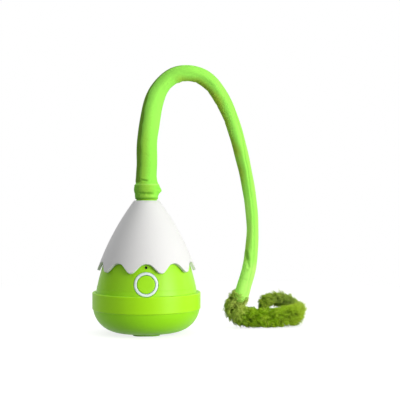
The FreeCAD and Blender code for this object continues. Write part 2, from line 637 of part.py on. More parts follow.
def spur_gear(teeth, addendum, x, centre, towards):
    """Involute gear between two X planes, with one tooth pointing at an angle in the YZ plane."""
    pitch = MODULE * teeth / 2
    base = pitch * math.cos(PRESSURE_ANGLE)
    tip = pitch + addendum * MODULE
    root = pitch - DEDENDUM * MODULE
    involute = math.tan(PRESSURE_ANGLE) - PRESSURE_ANGLE
    half = math.pi / (2 * teeth) - BACKLASH / (2 * pitch) + involute

    def flank(radius):
        lean = math.acos(base / radius)
        return half - (math.tan(lean) - lean)

    start = max(base, root)
    bend = (start + tip) / 2

    def place(radius, angle):
        y, z = on_circle(centre, radius, angle)
        return V(x[0], y, z)

    edges = []
    step = 2 * math.pi / teeth
    for number in range(teeth):
        mid = towards + number * step
        foot_low = place(root, mid - flank(start))
        low = place(start, mid - flank(start))
        tip_low = place(tip, mid - flank(tip))
        tip_high = place(tip, mid + flank(tip))
        high = place(start, mid + flank(start))
        foot_high = place(root, mid + flank(start))
        if start > root:
            edges.append(Part.LineSegment(foot_low, low).toShape())
        edges.append(Part.Arc(low, place(bend, mid - flank(bend)), tip_low).toShape())
        edges.append(Part.Arc(tip_low, place(tip, mid), tip_high).toShape())
        edges.append(Part.Arc(tip_high, place(bend, mid + flank(bend)), high).toShape())
        if start > root:
            edges.append(Part.LineSegment(high, foot_high).toShape())
        next_foot = place(root, mid + step - flank(start))
        edges.append(Part.Arc(foot_high, place(root, mid + step / 2), next_foot).toShape())
    return Part.Face(Part.Wire(edges)).extrude(V(x[1] - x[0], 0, 0))


def around(x, width):
    """The two X planes of a piece of some width about a place."""
    return (x - width / 2, x + width / 2)


def final_gear():
    x = around(FINAL_GEAR_X, FINAL_GEAR_WIDTH)
    gear = spur_gear(LARGE_TEETH, LARGE_ADDENDUM, x, (0, AXLE_Z), math.radians(IDLER_ANGLE))
    hub = across(0, AXLE_Z, HUB_END_X, x[1] + GEAR_HUB, HUB_RADIUS)
    return joined(gear, hub).cut(across(0, AXLE_Z, HUB_END_X, x[1] + GEAR_HUB, AXLE_RADIUS))


def idler_gear():
    centre = (IDLER_Y, IDLER_Z)
    large_x = around(IDLER_LARGE_X, IDLER_LARGE_WIDTH)
    small_x = (IDLER_END_X, large_x[0])
    gap = math.radians(IDLER_ANGLE) + math.pi + math.pi / SMALL_TEETH
    small = spur_gear(SMALL_TEETH, SMALL_ADDENDUM, small_x, centre, gap)
    large = spur_gear(LARGE_TEETH, LARGE_ADDENDUM, large_x, centre, math.radians(MOTOR_ANGLE))
    end = INNER_WALL_FACE - GEAR_PLAY
    hub = across(IDLER_Y, IDLER_Z, large_x[1], end, IDLER_HUB_RADIUS)
    bore = across(IDLER_Y, IDLER_Z, IDLER_END_X, end, AXLE_RADIUS + RUNNING)
    return joined(small, large, hub).cut(bore)


def pinion():
    x = around(IDLER_LARGE_X, PINION_WIDTH)
    gap = math.radians(MOTOR_ANGLE) + math.pi + math.pi / SMALL_TEETH
    gear = spur_gear(SMALL_TEETH, SMALL_ADDENDUM, x, (MOTOR_Y, MOTOR_Z), gap)
    return gear.cut(across(MOTOR_Y, MOTOR_Z, x[0], x[1], MOTOR_SHAFT_RADIUS))


def motor():
    x0 = MOTOR_FACE
    x1 = MOTOR_FACE + MOTOR_LENGTH
    half = MOTOR_FLAT / 2
    can = across(MOTOR_Y, MOTOR_Z, x0, x1, MOTOR_DIAMETER / 2)
    can = can.common(block((x0, x1), (MOTOR_Y - half, MOTOR_Y + half),
                           (MOTOR_Z - MOTOR_DIAMETER, MOTOR_Z + MOTOR_DIAMETER)))
    boss = across(MOTOR_Y, MOTOR_Z, x0 - MOTOR_BOSS_LENGTH, x0, MOTOR_BOSS_RADIUS)
    rear = across(MOTOR_Y, MOTOR_Z, x1, x1 + MOTOR_BOSS_LENGTH, MOTOR_BOSS_RADIUS)
    tags = [block((x1, x1 + TAG_LENGTH), around(MOTOR_Y + side * TAG_OFFSET, TAG_WIDTH),
                  around(MOTOR_Z + TAG_RISE, TAG_THICKNESS)) for side in (-1, 1)]
    body = joined(can, boss, rear, *tags)
    body = body.cut(across(MOTOR_Y, MOTOR_Z, x0 - MOTOR_BOSS_LENGTH, SHAFT_END_X + GAP,
                           MOTOR_SHAFT_RADIUS + RUNNING))
    for side in (-1, 1):
        z = MOTOR_Z + side * MOTOR_SCREW_OFFSET
        body = body.cut(across(MOTOR_Y, z, x0, x0 + MOTOR_SCREW_GRIP, BOARD_SCREW_RADIUS))
    return body


def motor_shaft():
    start = IDLER_LARGE_X - PINION_WIDTH / 2 - GEAR_PLAY
    return across(MOTOR_Y, MOTOR_Z, start, SHAFT_END_X, MOTOR_SHAFT_RADIUS)


def motor_screws():
    left = []
    for side in (-1, 1):
        z = MOTOR_Z + side * MOTOR_SCREW_OFFSET
        shank = across(MOTOR_Y, z, INNER_WALL_FACE, MOTOR_FACE + MOTOR_SCREW_GRIP, BOARD_SCREW_RADIUS)
        head = across(MOTOR_Y, z, INNER_WALL_FACE - MOTOR_SCREW_HEAD, INNER_WALL_FACE,
                      MOTOR_SCREW_HEAD_RADIUS)
        left.append(joined(shank, head))
    return group(left + [other_side(part) for part in left])


def idler_pins():
    under_head = IDLER_END_X - GEAR_PLAY
    shank = across(IDLER_Y, IDLER_Z, under_head, MOTOR_FACE, AXLE_RADIUS)
    head = across(IDLER_Y, IDLER_Z, under_head - PIN_HEAD, under_head, PIN_HEAD_RADIUS)
    pin = joined(shank, head)
    return group([pin, other_side(pin)])


def axle():
    return across(0, AXLE_Z, AXLE_OUTER_X, AXLE_INNER_X, AXLE_RADIUS)


def axle_clips():
    clips = []
    for x in (OUTER_WALL_X - FRAME_WALL / 2 - CLIP_PLAY - CLIP_THICKNESS, MOTOR_FACE + CLIP_PLAY):
        clip = across(0, AXLE_Z, x, x + CLIP_THICKNESS, CLIP_RADIUS)
        clip = clip.cut(across(0, AXLE_Z, x, x + CLIP_THICKNESS, AXLE_RADIUS))
        mouth = block((x, x + CLIP_THICKNESS), (-AXLE_RADIUS * 0.7, AXLE_RADIUS * 0.7),
                      (AXLE_Z - CLIP_RADIUS, AXLE_Z))
        clips.append(clip.cut(mouth).cut(axle()))
    return group(clips)


def wheel():
    x0, x1 = around(-WHEEL_X, WHEEL_WIDTH)
    rim = WHEEL_RADIUS - TYRE_THICKNESS
    ring = across(0, AXLE_Z, x0, x1, rim).cut(across(0, AXLE_Z, x0, x1, rim - WHEEL_WALL))
    web = across(0, AXLE_Z, -WHEEL_X - WHEEL_WALL / 2, -WHEEL_X + WHEEL_WALL / 2, rim - WHEEL_WALL / 2)
    hub = across(0, AXLE_Z, HUB_START_X, HUB_END_X, HUB_RADIUS)
    body = joined(ring, web, hub)
    hole_circle = (rim - WHEEL_WALL + HUB_RADIUS) / 2
    for number in range(WHEEL_HOLES):
        y, z = on_circle((0, AXLE_Z), hole_circle, 2 * math.pi * number / WHEEL_HOLES)
        body = body.cut(across(y, z, x0, x1, WHEEL_HOLE_RADIUS))
    return body.cut(axle())


def tyre():
    x0, x1 = around(-WHEEL_X, WHEEL_WIDTH)
    band = across(0, AXLE_Z, x0, x1, WHEEL_RADIUS)
    band = band.makeFillet(TYRE_EDGE, [edge for edge in band.Edges if isinstance(edge.Curve, Part.Circle)])
    return band.cut(across(0, AXLE_Z, x0, x1, WHEEL_RADIUS - TYRE_THICKNESS))


def axle_bushes():
    left = []
    for x, inner_side in ((OUTER_WALL_X, 1), (INNER_WALL_X, -1)):
        face = x + inner_side * FRAME_WALL / 2
        sleeve = across(0, AXLE_Z, x - FRAME_WALL / 2, x + FRAME_WALL / 2, BUSH_RADIUS)
        ends = sorted((face, face + inner_side * BUSH_FLANGE))
        flange = across(0, AXLE_Z, ends[0], ends[1], BUSH_FLANGE_RADIUS)
        bore = across(0, AXLE_Z, x - FRAME_WALL, x + FRAME_WALL, AXLE_RADIUS + RUNNING)
        left.append(joined(sleeve, flange).cut(bore))
    return group(left + [other_side(part) for part in left])


def frame_side():
    """Walls, posts and motor cradle on the left of the drive frame."""
    inner = block(around(INNER_WALL_X, FRAME_WALL), (MOTOR_Y - MOTOR_DIAMETER / 2, BUSH_FLANGE_RADIUS * 2),
                  (PLATE_Z, MOTOR_Z + MOTOR_DIAMETER / 2 + FRAME_WALL / 2))
    outer = block(around(OUTER_WALL_X, FRAME_WALL), (-OUTER_WALL_HALF, OUTER_WALL_HALF),
                  (PLATE_Z, AXLE_Z + BUSH_RADIUS + FRAME_WALL))
    posts = [rod(POST_RADIUS, (x, y, PLATE_Z), (x, y, TRAY_Z)) for x, y in TRAY_POSTS]
    cradle = block(around(CRADLE_X, FRAME_WALL * 1.5), around(MOTOR_Y, MOTOR_FLAT * 0.7),
                   (PLATE_Z, MOTOR_Z - MOTOR_DIAMETER / 4))
    cradle = cradle.cut(across(MOTOR_Y, MOTOR_Z, MOTOR_FACE, MOTOR_FACE + MOTOR_LENGTH,
                               MOTOR_DIAMETER / 2 + RUNNING))
    return [inner, outer, cradle] + posts


def frame_side_holes():
    holes = [across(0, AXLE_Z, OUTER_WALL_X - FRAME_WALL, OUTER_WALL_X + FRAME_WALL, BUSH_RADIUS),
             across(0, AXLE_Z, INNER_WALL_X - FRAME_WALL, INNER_WALL_X + FRAME_WALL, BUSH_RADIUS),
             across(IDLER_Y, IDLER_Z, INNER_WALL_FACE, MOTOR_FACE, AXLE_RADIUS),
             across(MOTOR_Y, MOTOR_Z, INNER_WALL_FACE, MOTOR_FACE, MOTOR_BOSS_RADIUS + RUNNING)]
    holes += [across(MOTOR_Y, MOTOR_Z + side * MOTOR_SCREW_OFFSET, INNER_WALL_FACE, MOTOR_FACE,
                     BOARD_SCREW_RADIUS) for side in (-1, 1)]
    holes += [rod(SCREW_RADIUS, (x, y, TRAY_Z - TRAY_SCREW_GRIP), (x, y, TRAY_Z)) for x, y in TRAY_POSTS]
    return holes


def drive_frame():
    plate = rod(PLATE_RADIUS, (0, 0, PLATE_Z), (0, 0, PLATE_TOP))
    slot_x = (-FINAL_GEAR_X - FINAL_GEAR_WIDTH / 2 - SLOT_MARGIN, WHEEL_X + WHEEL_WIDTH / 2 + SLOT_MARGIN)
    plate = plate.cut(wheel_slot(slot_x, WHEEL_RADIUS + SLOT_MARGIN / 2, (PLATE_Z, PLATE_TOP)))
    left = frame_side()
    frame = joined(plate, *left, *[other_side(part) for part in left])
    for hole in frame_side_holes():
        frame = frame.cut(hole).cut(other_side(hole))
    for x, y in frame_screw_places():
        frame = frame.cut(rod(SCREW_RADIUS + EASY, (x, y, PLATE_Z), (x, y, PLATE_TOP)))
    return frame


def frame_screws():
    length = PLATE_THICKNESS + FRAME_SCREW_GRIP
    return group([screw((x, y, PLATE_TOP), (0, 0, -1), length) for x, y in frame_screw_places()])


def ballast_weight():
    slab = block((-BALLAST_HALF_WIDTH, BALLAST_HALF_WIDTH), (-BALLAST_HALF_LENGTH, BALLAST_HALF_LENGTH),
                 (BOWL_FLOOR_Z, PLATE_Z - RUNNING))
    return rounded(slab, V(0, 0, 1), SCREW_HEAD_RADIUS)


def tray_post_places():
    return TRAY_POSTS + [(-x, -y) for x, y in TRAY_POSTS]


def pillar_places():
    return [(sx * PILLAR_X, sy * PILLAR_Y) for sx in (-1, 1) for sy in (-1, 1)]


def battery_tray():
    plate = block((-TRAY_HALF_WIDTH, TRAY_HALF_WIDTH), (-TRAY_HALF_LENGTH, TRAY_HALF_LENGTH),
                  (TRAY_Z, TRAY_TOP))
    plate = rounded(plate, V(0, 0, 1), POST_RADIUS)
    x = BATTERY_SIZE[0] / 2 + EASY
    y = BATTERY_SIZE[1] / 2 + EASY
    lip_top = TRAY_TOP + TRAY_LIP_HEIGHT
    wall = block((-x - TRAY_LIP, x + TRAY_LIP), (-BATTERY_WALL_Y, BATTERY_WALL_Y), (TRAY_Z, lip_top))
    wall = wall.cut(block((-x, x), (-y, y), (TRAY_TOP, lip_top)))
    pillars = [rod(PILLAR_RADIUS, (px, py, TRAY_Z), (px, py, MAIN_BOARD_Z)) for px, py in pillar_places()]
    tray = joined(plate, wall, *pillars)
    for px, py in tray_post_places():
        tray = tray.cut(rod(SCREW_RADIUS + EASY, (px, py, TRAY_Z), (px, py, TRAY_TOP)))
    for px, py in pillar_places():
        tray = tray.cut(rod(SCREW_RADIUS, (px, py, MAIN_BOARD_Z - TRAY_SCREW_GRIP), (px, py, MAIN_BOARD_Z)))
    return tray


def tray_screws():
    length = TRAY_THICKNESS + TRAY_SCREW_GRIP
    return group([screw((x, y, TRAY_TOP), (0, 0, -1), length) for x, y in tray_post_places()])


def battery():
    x, y, z = BATTERY_SIZE
    cell = block((-x / 2, x / 2), (-y / 2, y / 2), (TRAY_TOP, TRAY_TOP + z))
    return rounded(cell, V(0, 1, 0), z * 0.3)


def main_board():
    half = MAIN_BOARD_HALF_WIDTH
    tail = MAIN_BOARD_TAIL_WIDTH
    shoulder = MAIN_BOARD_REAR_Y - (half - tail)
    corners = [(-half, MAIN_BOARD_FRONT_Y), (half, MAIN_BOARD_FRONT_Y), (half, shoulder),
               (tail, MAIN_BOARD_REAR_Y), (-tail, MAIN_BOARD_REAR_Y), (-half, shoulder)]
    points = [V(x, y, MAIN_BOARD_Z) for x, y in corners]
    sheet = Part.Face(Part.makePolygon(points + points[:1])).extrude(V(0, 0, BOARD_THICKNESS))
    top = MAIN_BOARD_TOP
    chips = [block(around(x, width), around(y, length), (top, top + height))
             for x, y, width, length, height in BOARD_PARTS]
    board = joined(sheet, *chips)
    for x, y in pillar_places():
        board = board.cut(rod(SCREW_RADIUS + EASY, (x, y, MAIN_BOARD_Z), (x, y, top)))
    return board


def main_board_screws():
    length = BOARD_THICKNESS + TRAY_SCREW_GRIP
    return group([screw((x, y, MAIN_BOARD_TOP), (0, 0, -1), length) for x, y in pillar_places()])


def port_shape(width, height, y):
    """Flat-oval bar along Y, centred where the charge port sits on the main board."""
    z = MAIN_BOARD_TOP + PORT_HEIGHT / 2
    bar = block((-width / 2, width / 2), y, (z - height / 2, z + height / 2))
    return rounded(bar, V(0, 1, 0), height * 0.42)


def charge_port():
    wall = PORT_WALL
    back = PORT_MOUTH_Y - PORT_DEPTH
    body = port_shape(PORT_WIDTH, PORT_HEIGHT, (back, PORT_MOUTH_Y))
    mouth = port_shape(PORT_WIDTH - 2 * wall, PORT_HEIGHT - 2 * wall, (back + PORT_FLOOR, PORT_MOUTH_Y))
    tongue = port_shape(PORT_TONGUE_WIDTH, PORT_TONGUE,
                        (back + PORT_FLOOR / 2, PORT_MOUTH_Y - PORT_TONGUE_SETBACK))
    return joined(body.cut(mouth), tongue)


def bent_lead(points):
    """Round lead along straight runs joined by tangent arcs."""
    points = [V(*point) for point in points]
    edges = []
    last = points[0]
    for before, corner, after in zip(points, points[1:], points[2:]):
        back = (before - corner).normalize()
        ahead = (after - corner).normalize()
        half = back.getAngle(ahead) / 2
        start = corner + back * (LEAD_BEND / math.tan(half))
        end = corner + ahead * (LEAD_BEND / math.tan(half))
        bisector = (back + ahead).normalize()
        middle = corner + bisector * (LEAD_BEND / math.sin(half) - LEAD_BEND)
        edges.append(Part.LineSegment(last, start).toShape())
        edges.append(Part.Arc(start, middle, end).toShape())
        last = end
    edges.append(Part.LineSegment(last, points[-1]).toShape())
    section = Part.Wire(Part.makeCircle(LEAD_RADIUS, points[0], points[1] - points[0]))
    return Part.Wire(edges).makePipeShell([section], True, False)


def battery_leads():
    x = BATTERY_SIZE[0] / 2
    z = TRAY_TOP + BATTERY_SIZE[2] * 0.65
    out = x + LEAD_REACH
    return group([bent_lead([(x, y, z), (out, y, z), (out, y, MAIN_BOARD_Z)])
                  for y in (-LEAD_SPACING / 2, LEAD_SPACING / 2)])


def motor_leads():
    x = MOTOR_FACE + MOTOR_LENGTH + TAG_LENGTH
    z = MOTOR_Z + TAG_RISE
    left = [bent_lead([(x, y, z), (MOTOR_LEAD_X, y, z), (MOTOR_LEAD_X, y, MAIN_BOARD_Z)])
            for y in (MOTOR_Y - TAG_OFFSET, MOTOR_Y + TAG_OFFSET)]
    return group(left + [other_side(lead) for lead in left])


def button_leads():
    y = BUTTON_BOARD_Y + BOARD_THICKNESS
    z = BUTTON_BOARD_FOOT_Z + LEAD_BEND + LEAD_RADIUS
    turn = MAIN_BOARD_FRONT_Y + LEAD_SPACING
    return group([bent_lead([(x, y, z), (x, turn, z), (x, turn, MAIN_BOARD_Z)])
                  for x in (-LEAD_SPACING, 0, LEAD_SPACING)])


def tail_plug():
    stem = rod(SOCKET_BORE - EASY, (0, 0, NECK_Z - PLUG_LENGTH), (0, 0, NECK_Z))
    flange = rod(PLUG_FLANGE_RADIUS, (0, 0, NECK_Z), (0, 0, NECK_Z + PLUG_FLANGE))
    head = rod(PLUG_HEAD_RADIUS, (0, 0, NECK_Z + PLUG_FLANGE), (0, 0, PLUG_TOP_Z))
    return joined(stem, flange, head).cut(rod(CORE_RADIUS, (0, 0, NECK_Z + CORE_INSET), (0, 0, PLUG_TOP_Z)))


def tie_band():
    low = NECK_Z + TIE_Z
    return tube(TIE_RADIUS + TIE_THICKNESS, TIE_RADIUS, (0, 0, low), (0, 0, low + TIE_WIDTH))


def cuff():
    """The sleeve's lower end: hem, casing for the tie band, round cuff, start of the riser."""
    low = NECK_Z + EASY
    waist = NECK_Z + WAIST_Z
    riser = SLEEVE_RADII[0][1]
    body = turned([(0, low), (HEM_RADIUS, low),
                   (WAIST_RADIUS, waist, (HEM_RADIUS + WAIST_RADIUS) / 2 + HEM_FULLNESS, (low + waist) / 2),
                   (CUFF_TOP_RADIUS, NECK_Z + CUFF_TOP_Z, CUFF_RADIUS, NECK_Z + CUFF_Z),
                   (riser, NECK_Z + RISER_Z), (0, NECK_Z + RISER_Z)])
    body = body.cut(rod(PLUG_FLANGE_RADIUS + EASY, (0, 0, low), (0, 0, NECK_Z + PLUG_FLANGE + EASY)))
    body = body.cut(rod(PLUG_HEAD_RADIUS + EASY, (0, 0, low), (0, 0, PLUG_TOP_Z + EASY)))
    body = body.cut(tie_band())
    return body.cut(rod(CORE_RADIUS + EASY, (0, 0, low), (0, 0, NECK_Z + RISER_Z)))


def tail_curve():
    """Smooth centre line from the top of the cuff to the end of the pile."""
    places = [(0, 0, NECK_Z + RISER_Z)] + SLEEVE_ROUTE + [SLEEVE_END] + TIP_ROUTE
    curve = Part.BSplineCurve()
    curve.interpolate([V(*place) for place in places])
    return curve


def stations(curve, first, last, count, side):
    """Evenly spaced places on the curve, each as point, sideways and upwards; the frame doesn't twist."""
    places = []
    for point in curve.discretize(Number=count, First=first, Last=last):
        ahead = curve.tangent(curve.parameter(point))[0]
        side = (side - ahead * side.dot(ahead)).normalize()
        places.append((point, side, ahead.cross(side)))
    return places


def tail_stations():
    """Stations of the sleeve and of the tip; they share the plane where the two meet."""
    curve = tail_curve()
    end = curve.parameter(V(*SLEEVE_END))
    sleeve = stations(curve, curve.FirstParameter, end, SLEEVE_STATIONS, V(0, 1, 0))
    start = sleeve[0][0]
    sleeve[0] = (start, V(0, 1, 0), V(-1, 0, 0))
    tip = stations(curve, end, curve.LastParameter, TIP_STATIONS, sleeve[-1][1])
    return sleeve, [sleeve[-1]] + tip[1:]


def radius_at(radii, share):
    """Radius at a share of the length, eased between the places listed."""
    for (before, small), (after, large) in zip(radii, radii[1:]):
        if share <= after:
            part = (share - before) / (after - before)
            return small + (large - small) * part * part * (3 - 2 * part)
    return radii[-1][1]


def round_section(station, radius):
    """Circle of four quarter arcs across the tail."""
    centre, side, up = station

    def at(degrees):
        angle = math.radians(degrees)
        return centre + side * (radius * math.cos(angle)) + up * (radius * math.sin(angle))

    arcs = [Part.Arc(at(turn), at(turn + 45), at(turn + 90)) for turn in (0, 90, 180, 270)]
    return Part.Wire([arc.toShape() for arc in arcs])


def along(places, radii):
    """Solid through round sections, one radius for each station."""
    return Part.makeLoft([round_section(place, radius) for place, radius in zip(places, radii)], True, False)


def even(places, radius):
    return along(places, [radius] * len(places))


def tapered(places, radii):
    last = len(places) - 1
    return along(places, [radius_at(radii, number / last) for number in range(len(places))])


def tip_core_count():
    return int(TIP_STATIONS * CORE_SHARE_OF_TIP)


def tail_sleeve():
    sleeve = tail_stations()[0]
    cloth = tapered(sleeve, SLEEVE_RADII).cut(even(sleeve, CORE_RADIUS + EASY))
    return joined(cuff(), cloth)


def tail_tip():
    tip = tail_stations()[1]
    return tapered(tip, TIP_RADII).cut(even(tip[:tip_core_count()], CORE_RADIUS + EASY))


def tail_core():
    sleeve, tip = tail_stations()
    straight = rod(CORE_RADIUS, (0, 0, NECK_Z + CORE_INSET), (0, 0, NECK_Z + RISER_Z))
    return joined(straight, even(sleeve, CORE_RADIUS), even(tip[:tip_core_count()], CORE_RADIUS))


SHARED = [base_bowl, bumper_band, upper_shell, cap_skirt, glide_pad, light_ring, power_button,
          switch_plunger, button_board, board_screws, sensor_lens, tail_socket, socket_nut,
          shell_screws, axle_bushes, idler_pins, motor_screws, drive_frame, frame_screws,
          ballast_weight, battery_tray, tray_screws, battery, main_board, main_board_screws,
          charge_port, battery_leads, motor_leads, button_leads, tail_plug, tie_band, tail_core,
          tail_sleeve, tail_tip]
SIDED = [motor, motor_shaft, pinion, idler_gear, axle, final_gear, wheel, tyre, axle_clips]

os.makedirs("parts", exist_ok=True)
for make in SHARED:
    make().exportStep("parts/" + make.__name__ + ".step")
for make in SIDED:
    piece = make()
    piece.exportStep("parts/left_" + make.__name__ + ".step")
    other_side(piece).exportStep("parts/right_" + make.__name__ + ".step")
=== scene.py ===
"""Looks of the self-moving plush cat toy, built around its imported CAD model.

The body's axis is the Z axis, the button faces -Y and the tail arches towards +X. Sizes are written in
millimetres, and MM turns them into Blender's metres.
"""

import json
import math

import bmesh
import bpy
import numpy as np
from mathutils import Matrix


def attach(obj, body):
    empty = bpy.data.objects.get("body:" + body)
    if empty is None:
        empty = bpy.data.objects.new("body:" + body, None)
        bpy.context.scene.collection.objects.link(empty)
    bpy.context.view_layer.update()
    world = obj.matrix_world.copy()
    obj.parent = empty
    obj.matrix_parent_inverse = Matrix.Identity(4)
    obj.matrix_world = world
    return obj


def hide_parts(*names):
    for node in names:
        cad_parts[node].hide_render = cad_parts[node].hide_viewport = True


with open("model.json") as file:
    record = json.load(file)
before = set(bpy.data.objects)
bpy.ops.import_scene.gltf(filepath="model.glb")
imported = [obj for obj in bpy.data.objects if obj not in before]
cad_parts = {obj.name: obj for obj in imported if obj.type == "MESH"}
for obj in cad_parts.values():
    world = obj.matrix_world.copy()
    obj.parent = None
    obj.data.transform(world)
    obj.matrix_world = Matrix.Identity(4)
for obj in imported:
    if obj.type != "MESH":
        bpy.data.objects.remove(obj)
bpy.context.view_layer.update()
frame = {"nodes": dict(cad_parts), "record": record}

MM = 0.001

# Upper shell and cap: foot (radius, height), top (radius, height) and how far the side bulges
SHELL_FOOT = (42.2, 33.0)
SHELL_TOP = (8.8, 108.9)
SHELL_BULGE = 5.0
CAP_FOOT = (41.0, 52.8)
CAP_TOP = (10.5, 110.4)
CAP_BULGE = 2.45
CAP_WALL = 1.3
CAP_HEM_WALL = 2.4
NECK_BORE = 7.05
SCALLOPS = 10
SCALLOP_RISE = 7.4
NOTCH_RADIUS = 8.0
LOBE_RADIUS = 4.3

BUTTON_Z = 43.8

WHEEL_X = 21.0
WHEEL_Z = 13.0

# Tail: foot of the cuff, centre line of the sleeve and of the long pile at its end
CUFF_LINE = [(0.0, 0.0, 111.3), (0.0, 0.0, 121.0), (0.0, 0.0, 131.2)]
SLEEVE_LINE = [
    (0.6, 0.0, 139.0), (0.9, 0.0, 158.0), (2.7, -0.1, 174.0), (5.6, -0.3, 189.5), (11.4, -0.5, 203.3),
    (22.0, -1.0, 213.4), (36.3, -1.4, 216.0), (50.0, -1.4, 210.6), (60.1, -0.3, 199.3), (67.2, 1.3, 186.0),
    (72.7, 3.0, 171.8), (77.3, 4.8, 157.3), (81.0, 6.7, 142.6), (84.3, 8.5, 127.8),
    (87.1, 10.4, 112.8), (88.8, 12.3, 97.5), (89.6, 13.9, 82.1), (88.9, 15.6, 66.7),
    (86.9, 17.1, 51.3), (83.5, 18.2, 37.5)]
SLEEVE_END = (80.3, 19.0, 28.4)
PILE_LINE = [
    (75.6, 20.6, 22.2), (76.4, 22.2, 15.2), (84.8, 23.6, 10.7), (95.4, 24.9, 8.5), (107.3, 26.0, 8.4),
    (119.0, 27.4, 9.5), (128.4, 31.2, 11.0), (132.2, 38.4, 13.8), (130.2, 45.8, 17.2), (124.8, 50.8, 20.0),
    (117.6, 53.6, 21.8), (109.8, 53.6, 21.8), (104.2, 50.4, 18.8), (102.2, 45.8, 13.4)]
# Distance above the cuff's foot and the cloth's radius there
CUFF_RADII = [(0.0, 9.3), (0.7, 9.6), (2.2, 9.7), (4.6, 9.75), (6.6, 10.3), (8.4, 10.45), (10.2, 10.2),
              (11.6, 9.85), (12.3, 9.55), (12.9, 9.05), (15.7, 8.85), (19.9, 8.6)]
# Share of the length and the radius there
SLEEVE_RADII = [(0.0, 8.6), (0.17, 8.4), (0.27, 6.9), (0.40, 6.7),
                (0.55, 6.0), (0.70, 5.4), (0.81, 5.1), (0.92, 5.9), (1.0, 6.5)]
PILE_RADII = [(0.0, 6.5), (0.08, 8.5), (0.3, 7.9), (0.5, 8.4),
              (0.66, 6.6), (0.8, 5.8), (0.94, 5.2), (1.0, 3.0)]


# Nodes

class Tree:
    """Adds nodes to one node tree and joins them."""

    def __init__(self, tree):
        self.tree = tree

    def feed(self, socket, value):
        """Joins a socket to another, or sets its value; a colour is given without its alpha."""
        if isinstance(value, bpy.types.NodeSocket):
            self.tree.links.new(value, socket)
        else:
            socket.default_value = (*value, 1.0) if socket.type == "RGBA" else value

    def node(self, kind, inputs=None, **settings):
        node = self.tree.nodes.new("ShaderNode" + kind)
        for name, value in settings.items():
            setattr(node, name, value)
        for name, value in (inputs or {}).items():
            self.feed(node.inputs[name], value)
        return node

    def math(self, operation, *values, clamp=False):
        node = self.node("Math", operation=operation, use_clamp=clamp)
        for socket, value in zip(node.inputs, values):
            self.feed(socket, value)
        return node.outputs[0]

    def noise(self, place, scale, detail=2.0, roughness=0.5):
        return self.node("TexNoise", {"Vector": place, "Scale": scale, "Detail": detail,
                                      "Roughness": roughness}).outputs["Fac"]

    def stretched(self, place, scale):
        """The place with each axis scaled."""
        return self.node("Mapping", {"Vector": place, "Scale": scale}).outputs[0]

    def fade(self, value, low, high, start=0.0, end=1.0):
        """Smooth step of a value between low and high."""
        limits = {"Value": value, "From Min": low, "From Max": high, "To Min": start, "To Max": end}
        return self.node("MapRange", limits, interpolation_type="SMOOTHSTEP").outputs[0]

    def mix(self, share, first, second):
        node = self.node("Mix", data_type="RGBA")
        for number, value in ((0, share), (6, first), (7, second)):
            self.feed(node.inputs[number], value)
        return node.outputs[2]

    def shade(self, colour, factor):
        """The colour times a factor."""
        return self.node("VectorMath", {"Vector": colour, "Scale": factor}, operation="SCALE").outputs[0]

    def around(self, value, amount, middle=1.0):
        """The middle, lowered or raised by up to half the amount as the value goes from 0 to 1."""
        return self.math("MULTIPLY_ADD", self.math("SUBTRACT", value, 0.5), amount, middle)

    def product(self, *values):
        result = values[0]
        for value in values[1:]:
            result = self.math("MULTIPLY", result, value)
        return result

    def between(self, share, first, second):
        """Number between two others, at a share of the way from first to second."""
        kept = self.math("MULTIPLY", self.math("SUBTRACT", 1.0, share), first)
        return self.math("MULTIPLY_ADD", share, second, kept)

    def axis(self, place, name):
        return self.node("SeparateXYZ", {"Vector": place}).outputs[name]

    def place(self):
        return self.node("TexCoord").outputs["Object"]

    def attribute(self, name):
        return self.node("Attribute", attribute_name=name).outputs["Fac"]

    def group(self, tree, **inputs):
        node = self.node("Group", node_tree=tree)
        for name, value in inputs.items():
            self.feed(node.inputs[name], value)
        return node.outputs


KINDS = {"Colour": "NodeSocketColor", "Place": "NodeSocketVector"}


def effect(inputs, outputs):
    """Turns a function that builds its outputs' values into a node group with these inputs and outputs."""
    def grouped(build):
        tree = bpy.data.node_groups.new(build.__name__, "ShaderNodeTree")
        for direction, names in (("INPUT", inputs), ("OUTPUT", outputs)):
            for name in names.split():
                kind = KINDS.get(name, "NodeSocketFloat")
                tree.interface.new_socket(name, in_out=direction, socket_type=kind)
        nodes = Tree(tree)
        given = tree.nodes.new("NodeGroupInput").outputs
        end = tree.nodes.new("NodeGroupOutput")
        for name, value in zip(outputs.split(), build(nodes, given)):
            nodes.feed(end.inputs[name], value)
        return tree
    return grouped


@effect("Place Colour Tone Roughness Spread Grain Depth", "Colour Roughness Height")
def moulded_skin(nodes, given):
    """Even plastic: faint flow patches and a fine spark-eroded grain."""
    broad = nodes.noise(given["Place"], 45, 3)
    fine = nodes.noise(given["Place"], given["Grain"], 2)
    colour = nodes.shade(given["Colour"], nodes.around(broad, given["Tone"]))
    rough = nodes.around(nodes.between(0.4, broad, fine), given["Spread"], given["Roughness"])
    return colour, rough, nodes.product(fine, given["Depth"])


@effect("Place Colour Roughness Reach Amount", "Colour Roughness")
def floor_rub(nodes, given):
    """Dull, slightly darker rub marks that thin out above a height."""
    low = nodes.fade(nodes.axis(given["Place"], "Z"), 0.0, given["Reach"], 1.0, 0.0)
    upright = nodes.stretched(given["Place"], (1.0, 1.0, 7.0))
    streaks = nodes.fade(nodes.noise(upright, 320, 4, 0.65), 0.56, 0.70)
    patches = nodes.fade(nodes.noise(given["Place"], 60, 2), 0.42, 0.62)
    mask = nodes.product(streaks, patches, low, given["Amount"])
    colour = nodes.mix(mask, given["Colour"], nodes.shade(given["Colour"], 0.62))
    return colour, nodes.math("MULTIPLY_ADD", mask, 0.3, given["Roughness"])


